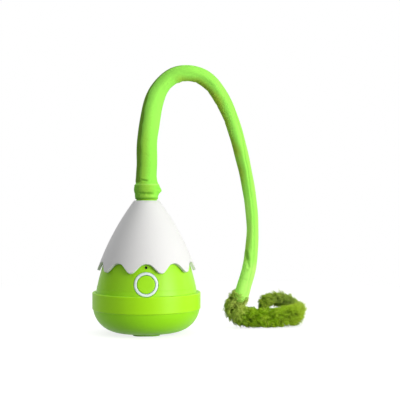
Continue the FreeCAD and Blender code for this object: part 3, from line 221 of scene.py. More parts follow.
@effect("Place Colour Roughness Amount", "Colour Roughness")
def settled_dust(nodes, given):
    """Thin pale dust on what faces up."""
    up = nodes.fade(nodes.axis(nodes.node("NewGeometry").outputs["Normal"], "Z"), 0.55, 0.98)
    specks = nodes.fade(nodes.noise(given["Place"], 900, 3, 0.7), 0.42, 0.75)
    patches = nodes.noise(given["Place"], 70, 2)
    mask = nodes.product(up, specks, patches, given["Amount"])
    colour = nodes.mix(mask, given["Colour"], (0.55, 0.53, 0.49))
    return colour, nodes.math("MULTIPLY_ADD", mask, 0.35, given["Roughness"])


@effect("Place Colour Roughness", "Colour Roughness Height")
def drawn_metal(nodes, given):
    """Fine lines of turned or drawn metal along the X axis, with handling smudges."""
    lines = nodes.noise(nodes.stretched(given["Place"], (60.0, 900.0, 900.0)), 6, 2, 0.6)
    smudges = nodes.noise(given["Place"], 140, 2)
    colour = nodes.shade(given["Colour"], nodes.around(lines, 0.25))
    rough = nodes.around(smudges, 0.22, given["Roughness"])
    return colour, nodes.math("MULTIPLY_ADD", lines, 0.08, rough), lines


@effect("Place Colour Clumps Brushing", "Colour Height")
def cut_pile(nodes, given):
    """Short nap: soft clumps of fibre ends, and patches brushed lighter or darker."""
    ends = nodes.noise(given["Place"], 2600, 2, 0.7)
    clumps = nodes.noise(given["Place"], 850, 3, 0.6)
    brushed = nodes.noise(nodes.stretched(given["Place"], (1.0, 1.0, 0.35)), 95, 3, 0.55)
    tone = nodes.between(0.45, clumps, ends)
    lift = nodes.around(brushed, given["Brushing"], nodes.around(tone, given["Clumps"]))
    return nodes.shade(given["Colour"], lift), tone


def emptied(holder):
    """Takes the nodes out of a material or a world, and gives the means to add others."""
    holder.use_nodes = True
    holder.node_tree.nodes.clear()
    return Tree(holder.node_tree)


FINISHES = {}


def new_finish(name, **fixed):
    """Adds a material with its shader to the finishes; fixed values are the same all over it."""
    FINISHES[name] = bpy.data.materials.new(name)
    nodes = emptied(FINISHES[name])
    shader = nodes.node("BsdfPrincipled", {key.replace("_", " "): value for key, value in fixed.items()})
    nodes.node("OutputMaterial", {"Surface": shader.outputs[0]})
    return nodes, shader.inputs


def dress(nodes, inputs, colour, roughness, height, distance, strength=1.0):
    """Joins colour, roughness and relief to the shader; the distance is the relief's depth in metres."""
    bump = nodes.node("Bump", {"Height": height, "Distance": distance, "Strength": strength})
    for name, value in (("Base Color", colour), ("Roughness", roughness), ("Normal", bump.outputs[0])):
        nodes.feed(inputs[name], value)


def plastic(name, colour, roughness, tone=0.06, spread=0.08, grain=1800, depth=0.5, relief=0.00006,
            dust=0.25, rub=0.0, rub_reach=0.02, specular=0.3, glow=0.0):
    """Moulded plastic with settled dust, and rubbed by the floor up to rub_reach."""
    nodes, inputs = new_finish(name, Specular_IOR_Level=specular, Emission_Strength=glow)
    place = nodes.place()
    top = nodes.group(moulded_skin, Place=place, Colour=colour, Tone=tone, Roughness=roughness,
                      Spread=spread, Grain=grain, Depth=depth)
    height = top["Height"]
    for mark, values in ((settled_dust, {"Amount": dust}), (floor_rub, {"Amount": rub, "Reach": rub_reach})):
        if values["Amount"]:
            top = nodes.group(mark, Place=place, Colour=top["Colour"], Roughness=top["Roughness"], **values)
    dress(nodes, inputs, top["Colour"], top["Roughness"], height, relief)
    if glow:
        nodes.feed(inputs["Emission Color"], top["Colour"])


def rubber(name, colour, roughness, rub=0.6):
    """Matt rubber, rubbed near the floor."""
    plastic(name, colour, roughness, tone=0.12, spread=0.12, grain=1200, depth=1.0, relief=0.0001,
            dust=0.0, rub=rub, rub_reach=0.015)


def metal(name, colour, roughness):
    """Bare metal with its drawing or turning lines."""
    nodes, inputs = new_finish(name, Metallic=1.0)
    drawn = nodes.group(drawn_metal, Place=nodes.place(), Colour=colour, Roughness=roughness)
    dress(nodes, inputs, drawn["Colour"], drawn["Roughness"], drawn["Height"], 0.00003)


def circuit_board(name, axis, level):
    """Green laminate with copper tracks; what stands past a level on one axis is black moulding."""
    nodes, inputs = new_finish(name)
    place = nodes.place()
    tracks = nodes.node("TexBrick", {"Vector": place, "Scale": 240.0,
                                     "Mortar Size": 0.035, "Mortar Smooth": 0.3,
                                     "Color1": (0.010, 0.130, 0.045),
                                     "Color2": (0.014, 0.155, 0.055),
                                     "Mortar": (0.045, 0.240, 0.080)}).outputs
    skin = nodes.group(moulded_skin, Place=place, Colour=tracks["Color"], Tone=0.15, Roughness=0.36,
                       Spread=0.1, Grain=1500, Depth=0.4)
    side = "GREATER_THAN" if axis == "Z" else "LESS_THAN"
    part = nodes.math(side, nodes.axis(place, axis), level)
    dress(nodes, inputs, nodes.mix(part, skin["Colour"], (0.022, 0.022, 0.024)),
          nodes.math("MULTIPLY_ADD", part, 0.2, skin["Roughness"]),
          nodes.math("ADD", skin["Height"], tracks["Fac"]), 0.00005)


def shrink_wrap(name, colour):
    """Shiny film drawn tight, with soft creases."""
    nodes, inputs = new_finish(name)
    place = nodes.place()
    folds = nodes.noise(nodes.stretched(place, (1.0, 4.0, 1.0)), 120, 3, 0.55)
    skin = nodes.group(moulded_skin, Place=place, Colour=colour, Tone=0.1, Roughness=0.24, Spread=0.1,
                       Grain=700, Depth=0.2)
    height = nodes.math("ADD", folds, skin["Height"])
    dress(nodes, inputs, skin["Colour"], skin["Roughness"], height, 0.0003)


def velour(name):
    """The sleeve's short-pile cloth, with painted shade and light: an olive strip of painted shade on the
    riser's shaded side, painted shade in creases and seams, olive nap with painted shade towards the body,
    paler nap with painted light on the lower sleeve, and a painted highlight on the cuff's lip.
    """
    nodes, inputs = new_finish(name, Specular_IOR_Level=0.10, Sheen_Weight=0.30, Sheen_Roughness=0.40,
                               Sheen_Tint=(0.62, 1.0, 0.35))
    place = nodes.place()
    weave = nodes.noise(place, 520, 3, 0.7)
    # Painted shade on the riser's shaded side: an olive strip beside the seam, with a ragged edge
    ragged = nodes.fade(nodes.around(weave, 0.9, nodes.attribute("shaded_strip")), 0.38, 0.62)
    olive = nodes.mix(weave, (0.085, 0.290, 0.022), (0.230, 0.400, 0.030))
    # Paler towards the sleeve's end, with painted light on the shaded side towards the body and a painted
    # highlight on the cuff's lip
    base = nodes.mix(nodes.attribute("pale"), (0.300, 0.880, 0.085), (0.475, 0.975, 0.165))
    # Olive nap, with painted shade on the riser's and cuff's shaded front-left and on the side towards the
    # body
    base = nodes.mix(nodes.attribute("olive_and_shade"), base, (0.340, 0.520, 0.040))
    # Painted shade in creases, along the seam, round the hem above the cap and on the cuff's shaded left side
    base = nodes.mix(nodes.attribute("painted_shade"), base, (0.110, 0.330, 0.020))
    base = nodes.mix(ragged, base, olive)
    nap = nodes.group(cut_pile, Place=place, Colour=base, Clumps=0.40, Brushing=0.22)
    dress(nodes, inputs, nap["Colour"], 0.92, nap["Height"], 0.0003, 0.7)


def pile_strand(name):
    """Long pile: painted shade darkens it towards the roots, paler at the tips, each tuft with its own tone.
    """
    nodes, inputs = new_finish(name, Roughness=0.7, Specular_IOR_Level=0.05, Sheen_Weight=0.12,
                               Sheen_Roughness=0.5, Sheen_Tint=(0.80, 1.0, 0.25))
    tone = nodes.attribute("tone")
    dark = nodes.mix(tone, (0.140, 0.290, 0.004), (0.480, 0.680, 0.060))
    light = nodes.mix(tone, (0.290, 0.530, 0.008), (0.820, 0.980, 0.110))
    light = nodes.mix(nodes.attribute("grey"), light, (0.560, 0.680, 0.210))
    fibres = nodes.noise(nodes.place(), 700, 2, 0.6)
    # Painted shade: the strands darken towards their roots
    colour = nodes.mix(nodes.fade(nodes.attribute("rise"), 0.05, 0.80), nodes.shade(dark, 0.60), light)
    nodes.feed(inputs["Base Color"], nodes.shade(colour, nodes.around(fibres, 0.3)))


# One finish for each slot of the record, and the boards' own
plastic("bowl_plastic", (0.320, 0.785, 0.003), 0.44, rub=0.6, rub_reach=0.012)
plastic("band_plastic", (0.385, 0.830, 0.003), 0.42, rub=0.2, rub_reach=0.06)
plastic("shell_plastic", (0.335, 0.740, 0.010), 0.42)
plastic("cap_plastic", (0.735, 0.735, 0.738), 0.50, tone=0.03, dust=0.10)
plastic("ring_plastic", (0.700, 0.790, 0.800), 0.45, tone=0.03, dust=0.0, glow=0.08)
plastic("button_plastic", (0.360, 0.800, 0.010), 0.45, dust=0.0)
plastic("lens_plastic", (0.004, 0.004, 0.004), 0.08, dust=0.0, specular=0.15)
rubber("tie_rubber", (0.050, 0.200, 0.012), 0.7, rub=0.0)
plastic("inner_plastic", (0.022, 0.024, 0.026), 0.55, tone=0.1, depth=1.0)
plastic("gear_plastic", (0.780, 0.760, 0.680), 0.45, tone=0.05)
plastic("wheel_plastic", (0.033, 0.033, 0.036), 0.5, rub=0.5, rub_reach=0.02)
rubber("tyre_rubber", (0.011, 0.011, 0.011), 0.82)
plastic("pad_plastic", (0.290, 0.730, 0.014), 0.5, rub=1.0, rub_reach=0.004)
metal("steel", (0.480, 0.480, 0.490), 0.32)
metal("bush_brass", (0.570, 0.320, 0.070), 0.3)
metal("motor_steel", (0.430, 0.440, 0.450), 0.38)
shrink_wrap("cell_wrap", (0.022, 0.065, 0.350))
rubber("lead_sheath", (0.350, 0.008, 0.006), 0.5, rub=0.0)
velour("smooth_plush")
pile_strand("long_pile")
# The boards' laminate ends at these heights on the Z and the Y axis
MAIN_BOARD_TOP = 40.75
BUTTON_BOARD_FRONT = -32.05
circuit_board("main_board_laminate", "Z", MAIN_BOARD_TOP * MM)
circuit_board("button_board_laminate", "Y", BUTTON_BOARD_FRONT * MM)


def finish_cad_nodes():
    """Gives every node of the CAD model the finish of its slot, or its own laminate."""
    for part in frame["record"]["subparts"]:
        name = part["node"]
        mesh = frame["nodes"][name].data
        mesh.materials.clear()
        mesh.materials.append(FINISHES.get(name + "_laminate") or FINISHES[part["material_slot"]])


# Shapes

def arc_side(foot, top, bulge):
    """Centre (radius, height) and radius of the arc from foot to top that stands out by its bulge."""
    run, rise = top[0] - foot[0], top[1] - foot[1]
    chord = math.hypot(run, rise)
    out = (rise / chord, -run / chord)
    radius = (chord * chord / 4 + bulge * bulge) / (2 * bulge)
    back = bulge - radius
    return ((foot[0] + top[0]) / 2 + back * out[0], (foot[1] + top[1]) / 2 + back * out[1]), radius


def side_radius(side, height):
    """Distance from the body's axis to an arc of revolution at a height."""
    (centre_r, centre_z), radius = side
    return centre_r + math.sqrt(radius * radius - (height - centre_z) ** 2)


def bell(value, middle, width, power=2):
    """1 at the middle, and close to 0 from two widths away."""
    return np.exp(-(np.abs(value - middle) / width) ** power)


def ramp(value, start, end):
    """0 up to the start and 1 from the end on; the end may lie below the start."""
    return np.clip((value - start) / (end - start), 0.0, 1.0)


def alone():
    bpy.ops.object.select_all(action="DESELECT")


def linked(name, data):
    """New object of the scene with this data."""
    thing = bpy.data.objects.new(name, data)
    bpy.context.scene.collection.objects.link(thing)
    return thing


def start_ring(name, count, radius, centre, facing=(0.0, 0.0, 0.0)):
    """New piece in edit mode: one open ring of points, all selected."""
    alone()
    bpy.ops.mesh.primitive_circle_add(vertices=count, radius=radius * MM,
                                      location=[value * MM for value in centre], rotation=facing)
    piece = bpy.context.object
    piece.name = name
    piece.data.name = name
    bpy.ops.object.transform_apply(location=True, rotation=True, scale=True)
    bpy.ops.object.mode_set(mode="EDIT")
    bpy.ops.mesh.select_all(action="SELECT")
    return piece


def next_ring(axis, centre, ratio, step):
    """Extrudes the selected ring, sizes it across an axis by a ratio and moves it along the axis."""
    bpy.ops.mesh.extrude_region_move()
    size = [1.0 if number == axis else ratio for number in range(3)]
    bpy.ops.transform.resize(value=size, center_override=[value * MM for value in centre])
    move = [step * MM if number == axis else 0.0 for number in range(3)]
    bpy.ops.transform.translate(value=move)


def face_outwards():
    """Turns all faces of the piece in edit mode outwards."""
    bpy.ops.mesh.select_mode(type="VERT")
    bpy.ops.mesh.select_all(action="SELECT")
    bpy.ops.mesh.normals_make_consistent(inside=False)


def leave_edit():
    bpy.ops.object.mode_set(mode="OBJECT")


def turned(name, count, centre, axis, facing, profile, hollow=True):
    """Piece of revolution about an axis through a centre, in edit mode; the profile lists (radius, offset).

    Its two ends are joined to each other if it is hollow, and else closed one by one.
    """
    start = list(centre)
    start[axis] += profile[0][1]
    piece = start_ring(name, count, profile[0][0], start, facing)
    for (radius, offset), (next_radius, next_offset) in zip(profile, profile[1:]):
        next_ring(axis, centre, next_radius / radius, next_offset - offset)
    shape = bmesh.from_edit_mesh(piece.data)
    for edge in shape.edges:
        edge.select_set(edge.is_boundary)
    if not hollow:
        bmesh.ops.holes_fill(shape, edges=[edge for edge in shape.edges if edge.select], sides=0)
    shape.select_flush_mode()
    bmesh.update_edit_mesh(piece.data)
    if hollow:
        bpy.ops.mesh.select_mode(type="EDGE")
        bpy.ops.mesh.bridge_edge_loops()
    face_outwards()
    return piece


def only(piece):
    """Makes the piece the one that operators work on."""
    alone()
    piece.select_set(True)
    bpy.context.view_layer.objects.active = piece


def apply_modifier(piece, kind, **settings):
    only(piece)
    modifier = piece.modifiers.new(kind.lower(), kind)
    for name, value in settings.items():
        setattr(modifier, name, value)
    bpy.ops.object.modifier_apply(modifier=modifier.name)


def finished(piece, slot, body, replaced, angle=35):
    """Shades a piece, gives it its finish and says what it rides on and stands for."""
    only(piece)
    bpy.ops.object.shade_smooth_by_angle(angle=math.radians(angle))
    piece.data.materials.clear()
    piece.data.materials.append(FINISHES[slot])
    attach(piece, body)
    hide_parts(*replaced)


CAP_COLUMNS = 36         # points round each scallop
CAP_TOP_ROWS = 18        # rings from the cap's top edge to just above the notches
CAP_HEM_ROWS = 6         # rings from there to the scalloped edge
CAP_HEM_Z = 61.6
CAP_SHOULDER = (0.35, 0.3)      # how far the top's edge is cut in, and how far down
CAP_THIN_ABOVE = 82.0    # above this height the wall is CAP_WALL thick
CAP_THICK_BELOW = 64.0   # below this one CAP_HEM_WALL
CAP_EDGE_ROUND = 0.38


def scallop_edge(side, angle):
    """Height of the skirt's edge at an angle from a notch's middle: round notch, flank, round lobe."""
    reach = CAP_FOOT[0] * math.sin(math.pi / SCALLOPS)
    top = (0.0, CAP_FOOT[1] + SCALLOP_RISE - NOTCH_RADIUS)
    lobe = (reach, CAP_FOOT[1] + LOBE_RADIUS)
    way = math.atan2(lobe[1] - top[1], lobe[0] - top[0])
    lean = math.acos((NOTCH_RADIUS + LOBE_RADIUS) / math.hypot(lobe[0] - top[0], lobe[1] - top[1]))
    high = (NOTCH_RADIUS * math.cos(way + lean), top[1] + NOTCH_RADIUS * math.sin(way + lean))
    low = (lobe[0] - LOBE_RADIUS * math.cos(way + lean), lobe[1] - LOBE_RADIUS * math.sin(way + lean))
    height = top[1] + NOTCH_RADIUS
    for _ in range(6):
        across = abs(side_radius(side, height) * math.sin(angle))
        if across <= high[0]:
            height = top[1] + math.sqrt(NOTCH_RADIUS ** 2 - across ** 2)
        elif across < low[0]:
            height = high[1] + (low[1] - high[1]) * (across - high[0]) / (low[0] - high[0])
        else:
            height = lobe[1] - math.sqrt(max(0.0, LOBE_RADIUS ** 2 - (across - lobe[0]) ** 2))
    return height


def make_cap():
    """White cap: a thin dome turned from its neck down, its hem drawn into scallops."""
    side = arc_side(CAP_FOOT, CAP_TOP, CAP_BULGE)
    count = CAP_COLUMNS * SCALLOPS
    piece = start_ring("scalloped_cap", count, NECK_BORE, (0.0, 0.0, CAP_TOP[1]))
    here = (NECK_BORE, CAP_TOP[1])
    rings = [(CAP_TOP[0] - CAP_SHOULDER[0], CAP_TOP[1])]
    shoulder = CAP_TOP[1] - CAP_SHOULDER[1]
    for number in range(CAP_TOP_ROWS + 1):
        height = shoulder + (CAP_HEM_Z - shoulder) * number / CAP_TOP_ROWS
        rings.append((side_radius(side, height), height))
    rings += [rings[-1]] * CAP_HEM_ROWS
    for ring in rings:
        next_ring(2, (0.0, 0.0, here[1]), ring[0] / here[0], ring[1] - here[1])
        here = ring
    for row in range(1, CAP_HEM_ROWS + 1):
        for phase in range(CAP_COLUMNS // 2 + 1):
            edge = scallop_edge(side, 2 * math.pi * phase / count)
            height = CAP_HEM_Z + (edge - CAP_HEM_Z) * (row / CAP_HEM_ROWS) ** 0.85
            shape = bmesh.from_edit_mesh(piece.data)
            shape.verts.ensure_lookup_table()
            first = len(shape.verts) - count * (CAP_HEM_ROWS + 1 - row)
            for vertex in shape.verts:
                vertex.select_set(False)
            for vertex in shape.verts[first:first + count]:
                turn = round(math.degrees(math.atan2(vertex.co.x, -vertex.co.y)) * count / 360)
                step = turn % CAP_COLUMNS
                vertex.select_set(min(step, CAP_COLUMNS - step) == phase)
            shape.select_flush_mode()
            bmesh.update_edit_mesh(piece.data)
            ratio = side_radius(side, height) / here[0]
            bpy.ops.transform.resize(value=(ratio, ratio, 1.0), center_override=(0.0, 0.0, 0.0))
            bpy.ops.transform.translate(value=(0.0, 0.0, (height - here[1]) * MM))
    face_outwards()
    leave_edit()
    hem = piece.vertex_groups.new(name="hem")
    for vertex in piece.data.vertices:
        thick = ramp(vertex.co.z / MM, CAP_THIN_ABOVE, CAP_THICK_BELOW)
        hem.add([vertex.index], float(thick), "REPLACE")
    apply_modifier(piece, "SOLIDIFY", thickness=CAP_HEM_WALL * MM, offset=-1.0, use_even_offset=True,
                   vertex_group="hem", thickness_vertex_group=CAP_WALL / CAP_HEM_WALL)
    apply_modifier(piece, "BEVEL", width=CAP_EDGE_ROUND * MM, segments=3, limit_method="ANGLE",
                   angle_limit=math.radians(50), profile=0.5)
    finished(piece, "cap_plastic", "shell", ["cap_skirt"])


def lay_on_shell(piece):
    """Moves a piece made flat at Y = 0 so that its front follows the shell's and its back stays flat."""
    side = arc_side(SHELL_FOOT, SHELL_TOP, SHELL_BULGE)
    middle = side_radius(side, BUTTON_Z) * MM
    for vertex in piece.data.vertices:
        reach = side_radius(side, vertex.co.z / MM) * MM
        front = math.sqrt(reach * reach - vertex.co.x * vertex.co.x)
        vertex.co.y -= front if vertex.co.y < FLAT_BACK * MM else middle


FACING_FRONT = (math.radians(90), 0.0, 0.0)
FLAT_BACK = 3.0          # what lies further behind the shell's surface is flat
# (radius, offset to the back of the shell's surface)
RING_PROFILE = [(8.1, 7.94), (8.1, 3.89), (7.42, 3.89), (7.42, 0.35), (7.46, 0.05), (7.58, -0.18),
                (7.78, -0.33), (8.05, -0.41), (8.5, -0.44), (8.95, -0.41), (9.22, -0.33), (9.42, -0.18),
                (9.54, 0.05), (9.58, 0.35), (9.58, 7.94)]
BUTTON_PROFILE = [(0.4, 0.14), (1.6, 0.12), (3.2, 0.06), (4.8, -0.04), (5.9, -0.14), (6.45, -0.19),
                  (6.75, -0.14), (6.93, 0.0), (7.02, 0.2), (7.05, 0.5), (7.05, 3.94),
                  (7.85, 3.94), (7.85, 4.74), (1.5, 4.74), (1.5, 5.04), (0.4, 5.04)]


def make_front_piece(name, profile, hollow, slot, body, replaced):
    """Round piece in the shell's front, with the shell's curve in front and flat behind."""
    piece = turned(name, 96, (0.0, 0.0, BUTTON_Z), 1, FACING_FRONT, profile, hollow)
    leave_edit()
    lay_on_shell(piece)
    finished(piece, slot, body, [replaced], 60)


FACING_SIDE = (0.0, math.radians(90), 0.0)
TREADS = 36
TREAD_COLUMNS = 4        # columns of faces for each block and the gap beside it
TREAD_FLOOR = 12.55      # radius between the tread blocks
TREAD_SINK = 0.9985      # keeps the blocks' faces just clear of the floor
TYRE_PROFILE = [(10.5, -2.9), (11.2, -3.0), (12.0, -2.9), (12.4, -2.55), (TREAD_FLOOR, -2.1),
                (TREAD_FLOOR, -0.35), (TREAD_FLOOR, 0.35), (TREAD_FLOOR, 2.1), (12.4, 2.55), (12.0, 2.9),
                (11.2, 3.0), (10.5, 2.9)]


def make_tyre(name, x, replaced, body):
    """Tyre with two rows of tread blocks, staggered by half a block."""
    columns = TREADS * TREAD_COLUMNS
    piece = turned(name, columns, (x, 0.0, WHEEL_Z), 0, FACING_SIDE, TYRE_PROFILE)
    shape = bmesh.from_edit_mesh(piece.data)
    for face in shape.faces:
        middle = face.calc_center_median()
        offset = middle.x / MM - x
        reach = math.hypot(middle.y, middle.z - WHEEL_Z * MM) / MM
        turn = math.atan2(middle.z - WHEEL_Z * MM, middle.y) / (2 * math.pi) * columns
        stagger = 0 if offset < 0 else TREAD_COLUMNS // 2
        face.select_set(reach > TREAD_FLOOR - 0.05 and 0.4 < abs(offset) < 2.1
                        and (math.floor(turn) + stagger) % TREAD_COLUMNS < TREAD_COLUMNS - 1)
    bmesh.update_edit_mesh(piece.data)
    bpy.ops.mesh.select_mode(type="FACE")
    bpy.ops.mesh.extrude_region_move()
    grow = WHEEL_Z / TREAD_FLOOR * TREAD_SINK
    bpy.ops.transform.resize(value=(1.0, grow, grow), center_override=(x * MM, 0.0, WHEEL_Z * MM))
    bpy.ops.mesh.select_mode(type="VERT")
    leave_edit()
    finished(piece, "tyre_rubber", body, [replaced], 30)


# Tail

def smooth_line(points, step):
    """Evenly spaced places on the smooth curve through the points, and their distances along it."""
    points = np.array(points, float)
    knots = np.concatenate([[0.0], np.cumsum(np.linalg.norm(np.diff(points, axis=0), axis=1))])
    gaps = np.diff(knots)
    slopes = np.diff(points, axis=0) / gaps[:, None]
    matrix = np.diag([1.0, *2 * (gaps[:-1] + gaps[1:]), 1.0])
    matrix += np.diag([*gaps[:-1], 0.0], -1) + np.diag([0.0, *gaps[1:]], 1)
    change = np.zeros_like(points)
    change[1:-1] = 6 * np.diff(slopes, axis=0)
    bends = np.linalg.solve(matrix, change)
    fine = np.linspace(0.0, knots[-1], 8000)
    part = np.clip(np.searchsorted(knots, fine, side="right") - 1, 0, len(gaps) - 1)
    ahead = (fine - knots[part])[:, None]
    gap = gaps[part][:, None]
    start = slopes[part] - gap * (2 * bends[part] + bends[part + 1]) / 6
    line = (points[part] + start * ahead + bends[part] * ahead ** 2 / 2
            + (bends[part + 1] - bends[part]) * ahead ** 3 / (6 * gap))
    lengths = np.concatenate([[0.0], np.cumsum(np.linalg.norm(np.diff(line, axis=0), axis=1))])
    stops = np.arange(0.0, lengths[-1], step)
    places = np.column_stack([np.interp(stops, lengths, line[:, axis]) for axis in range(3)])
    return places, stops


class TailLine:
    """The tail's centre line with a frame that doesn't twist: 0 degrees is the back, 90 the outer side."""

    def __init__(self):
        self.step = 0.25
        self.places, self.stops = smooth_line(CUFF_LINE + SLEEVE_LINE + [SLEEVE_END] + PILE_LINE, self.step)
        ahead = np.gradient(self.places, axis=0)
        self.ahead = ahead / np.linalg.norm(ahead, axis=1)[:, None]
        side = np.array([0.0, 1.0, 0.0])
        sides = []
        for way in self.ahead:
            side = side - way * side.dot(way)
            side = side / np.linalg.norm(side)
            sides.append(side)
        self.side = np.array(sides)
        self.up = np.cross(self.ahead, self.side)
        self.length = self.stops[-1]

    def near(self, place):
        """Distance along the line of its nearest place."""
        return self.stops[np.argmin(np.linalg.norm(self.places - np.array(place), axis=1))]

    def at(self, distance):
        """Centre, direction, side and up at distances along the line."""
        share = np.clip(np.asarray(distance, float) / self.step, 0, len(self.stops) - 1.001)
        low = share.astype(int)
        part = (share - low)[..., None]
        return [table[low] * (1 - part) + table[low + 1] * part
                for table in (self.places, self.ahead, self.side, self.up)]

    def out(self, distance, angle):
        """Direction out of the line at angles, in radians."""
        _, _, side, up = self.at(distance)
        return side * np.cos(angle)[..., None] + up * np.sin(angle)[..., None]


def eased(table, value, column=1):
    """A column of the table at a value of its first one, eased between the rows."""
    places = np.array([row[0] for row in table], float)
    values = np.array([row[column] for row in table], float)
    value = np.clip(value, places[0], places[-1])
    low = np.clip(np.searchsorted(places, value, side="right") - 1, 0, len(table) - 2)
    part = (value - places[low]) / (places[low + 1] - places[low])
    part = part * part * (3 - 2 * part)
    return values[low] + (values[low + 1] - values[low]) * part


def ring_angles(count):
    """Angles of evenly spread points round a ring."""
    return np.arange(count) * 2 * math.pi / count


tail = TailLine()
CUFF_LENGTH = 19.9
SLEEVE_LENGTH = tail.near(SLEEVE_END)
SLEEVE_COLUMNS = 64


def sleeve_radius(distance):
    share = (distance - CUFF_LENGTH) / (SLEEVE_LENGTH - CUFF_LENGTH)
    return np.where(distance < CUFF_LENGTH, eased(CUFF_RADII, distance), eased(SLEEVE_RADII, share))


def grid_mesh(name, points, ends):
    """Mesh of a tube from its rows of points, closed by a fan round each end's place."""
    rows, columns = points.shape[:2]
    vertices = np.concatenate([points.reshape(-1, 3), ends]) * MM
    here = np.arange(rows * columns).reshape(rows, columns)
    after = np.roll(here, -1, axis=1)
    faces = np.stack([here[:-1], after[:-1], after[1:], here[1:]], axis=-1).reshape(-1, 4).tolist()
    low, high = np.full(columns, rows * columns), np.full(columns, rows * columns + 1)
    fans = np.stack([low, after[0], here[0], high, here[-1], after[-1]], axis=-1)
    faces += fans.reshape(-1, 3).tolist()
    mesh = bpy.data.meshes.new(name)
    mesh.from_pydata(vertices.tolist(), [], faces)
    return linked(name, mesh)


def point_values(piece, name, values):
    attribute = piece.data.attributes.new(name, "FLOAT", "POINT")
    attribute.data.foreach_set("value", np.asarray(values, np.float32))


def tube_layout(rows, columns, strips, top):
    """UV places of a tube's faces: its rows in strips side by side below a level, its end fans above them."""
    row, column = np.divmod(np.arange((rows - 1) * columns), columns)
    per = math.ceil((rows - 1) / strips)
    strip, line = np.divmod(row, per)
    u = (strip[:, None] + 0.01 + 0.98 * (column[:, None] + np.array([0, 1, 1, 0])) / columns) / strips
    v = top * (0.005 + 0.99 * (line[:, None] + np.array([0, 0, 1, 1])) / per)
    fan_u = (np.arange(columns)[:, None] + np.array([0.5, 1.0, 0.0, 0.5, 0.0, 1.0])) / columns
    fan_v = np.tile(top + np.array([0.015, 0.003, 0.003, 0.032, 0.020, 0.020]), (columns, 1))
    return [np.stack([u, v], axis=-1).reshape(-1, 2), np.stack([fan_u, fan_v], axis=-1).reshape(-1, 2)]


def keep_layout(piece, places):
    """Gives the piece its own UV layout for baking."""
    layer = piece.data.uv_layers.new(name="OFBake")
    layer.data.foreach_set("uv", np.concatenate(places).ravel().astype(np.float32))


# Cloth at cushion size: soft enough to swell, with no weight of its own
CLOTH = {"quality": 6, "mass": 0.25, "tension_stiffness": 12, "compression_stiffness": 12,
         "shear_stiffness": 5, "bending_stiffness": 0.4, "use_pressure": True, "vertex_group_mass": "pins"}
CLOTH_SIZE = 25.0        # how many times larger the copy is
CLOTH_FRAMES = 20


def blown_up(piece, pinned, pressure, slack):
    """How far cloth simulation moves a closed skin's points, in mm; it works on a copy of cushion size."""
    scene = bpy.context.scene
    work = linked("cloth_work", piece.data.copy())
    start = np.zeros(len(work.data.vertices) * 3)
    work.data.vertices.foreach_get("co", start)
    work.data.vertices.foreach_set("co", start * CLOTH_SIZE)
    pins = work.vertex_groups.new(name="pins")
    pins.add([int(number) for number in pinned], 1.0, "REPLACE")
    modifier = work.modifiers.new("cloth", "CLOTH")
    settings = modifier.settings
    for name, value in CLOTH.items():
        setattr(settings, name, value)
    settings.uniform_pressure_force = pressure
    settings.shrink_min = -slack
    settings.effector_weights.gravity = 0.0
    modifier.collision_settings.use_collision = False
    modifier.collision_settings.use_self_collision = False
    for number in range(1, CLOTH_FRAMES + 1):
        scene.frame_set(number)
    moved = work.evaluated_get(bpy.context.evaluated_depsgraph_get())
    end = np.zeros(len(moved.data.vertices) * 3)
    moved.data.vertices.foreach_get("co", end)
    scene.frame_set(1)
    mesh = work.data
    bpy.data.objects.remove(work)
    bpy.data.meshes.remove(mesh)
    return ((end / CLOTH_SIZE - start) / MM).reshape(-1, 3)


# Distance along the tail, the seam's angle and how many degrees the strip of painted shade beside it reaches
SEAM = [(0.0, 142, 62), (27.8, 141, 60), (46.8, 139, 58), (62.8, 137, 56), (78.5, 132, 50), (93.8, 120, 36),
        (108.5, 104, 16), (123.2, 96, 0), (153.5, 108, 0), (184.2, 132, 0), (214.8, 156, 0), (245.5, 168, 0),
        (276.5, 170, 0), (331.2, 160, 0)]

# Creases from (distance, degrees) to (distance, degrees): depth and half width in mm, and how dark their
# painted shade is
CREASES = [
    (16.2, 148, 15.4, 188, 0.55, 0.6, 1.00), (5.3, 140, 4.9, 214, 0.60, 0.85, 0.80),
    (9.6, 226, 8.0, 262, 0.40, 0.9, 0.10), (14.8, 20, 13.5, 100, 0.45, 0.8, 0.35),
    (37.8, 150, 36.2, 190, 0.15, 0.9, 0.10), (49.8, 158, 49.2, 182, 0.20, 0.6, 0.20),
    (290.0, 244, 299.5, 212, 0.90, 1.6, 0.75), (299.5, 212, 305.5, 184, 0.50, 1.0, 0.30),
    (310.5, 236, 306.8, 196, 0.35, 1.2, 0.0), (315.5, 150, 316.0, 240, 0.20, 0.6, 0.15),
    (323.2, 150, 329.0, 168, 0.30, 0.9, 0.15)]
# Where along the tail the cloth ripples inside its bend, and how strongly
INNER_BEND = [(108.5, 0.9), (115.8, 0.8), (130.5, 1.0), (145.5, 0.9), (161.0, 0.8), (176.2, 0.6)]
# How olive the side towards the body looks along the tail, and how much painted shade darkens it
OLIVE_AND_SHADE_SIDE = [(0.0, 0.0), (105.0, 0.0), (117.0, 0.8), (136.0, 0.95), (166.0, 1.0), (176.0, 1.0), (185.0, 0.7),
              (194.0, 0.95), (203.0, 0.95), (211.0, 0.5), (221.0, 0.9), (234.0, 0.45), (246.0, 0.1),
              (272.0, 0.1), (288.0, 0.55), (298.0, 0.3), (304.0, 0.0), (331.0, 0.0)]
# How pale the nap looks along the tail, and how much painted light lifts the shaded side towards the body
PALE_NAP = [(0.0, 0.25), (262.0, 0.30), (285.0, 0.45), (298.0, 0.45), (307.0, 1.1), (331.0, 1.25)]
PAINTED_LIGHT_SIDE = [(0.0, 0.0), (238.0, 0.0), (256.0, 0.9), (282.0, 0.9), (296.0, 0.7), (306.0, 1.0), (331.0, 0.6)]

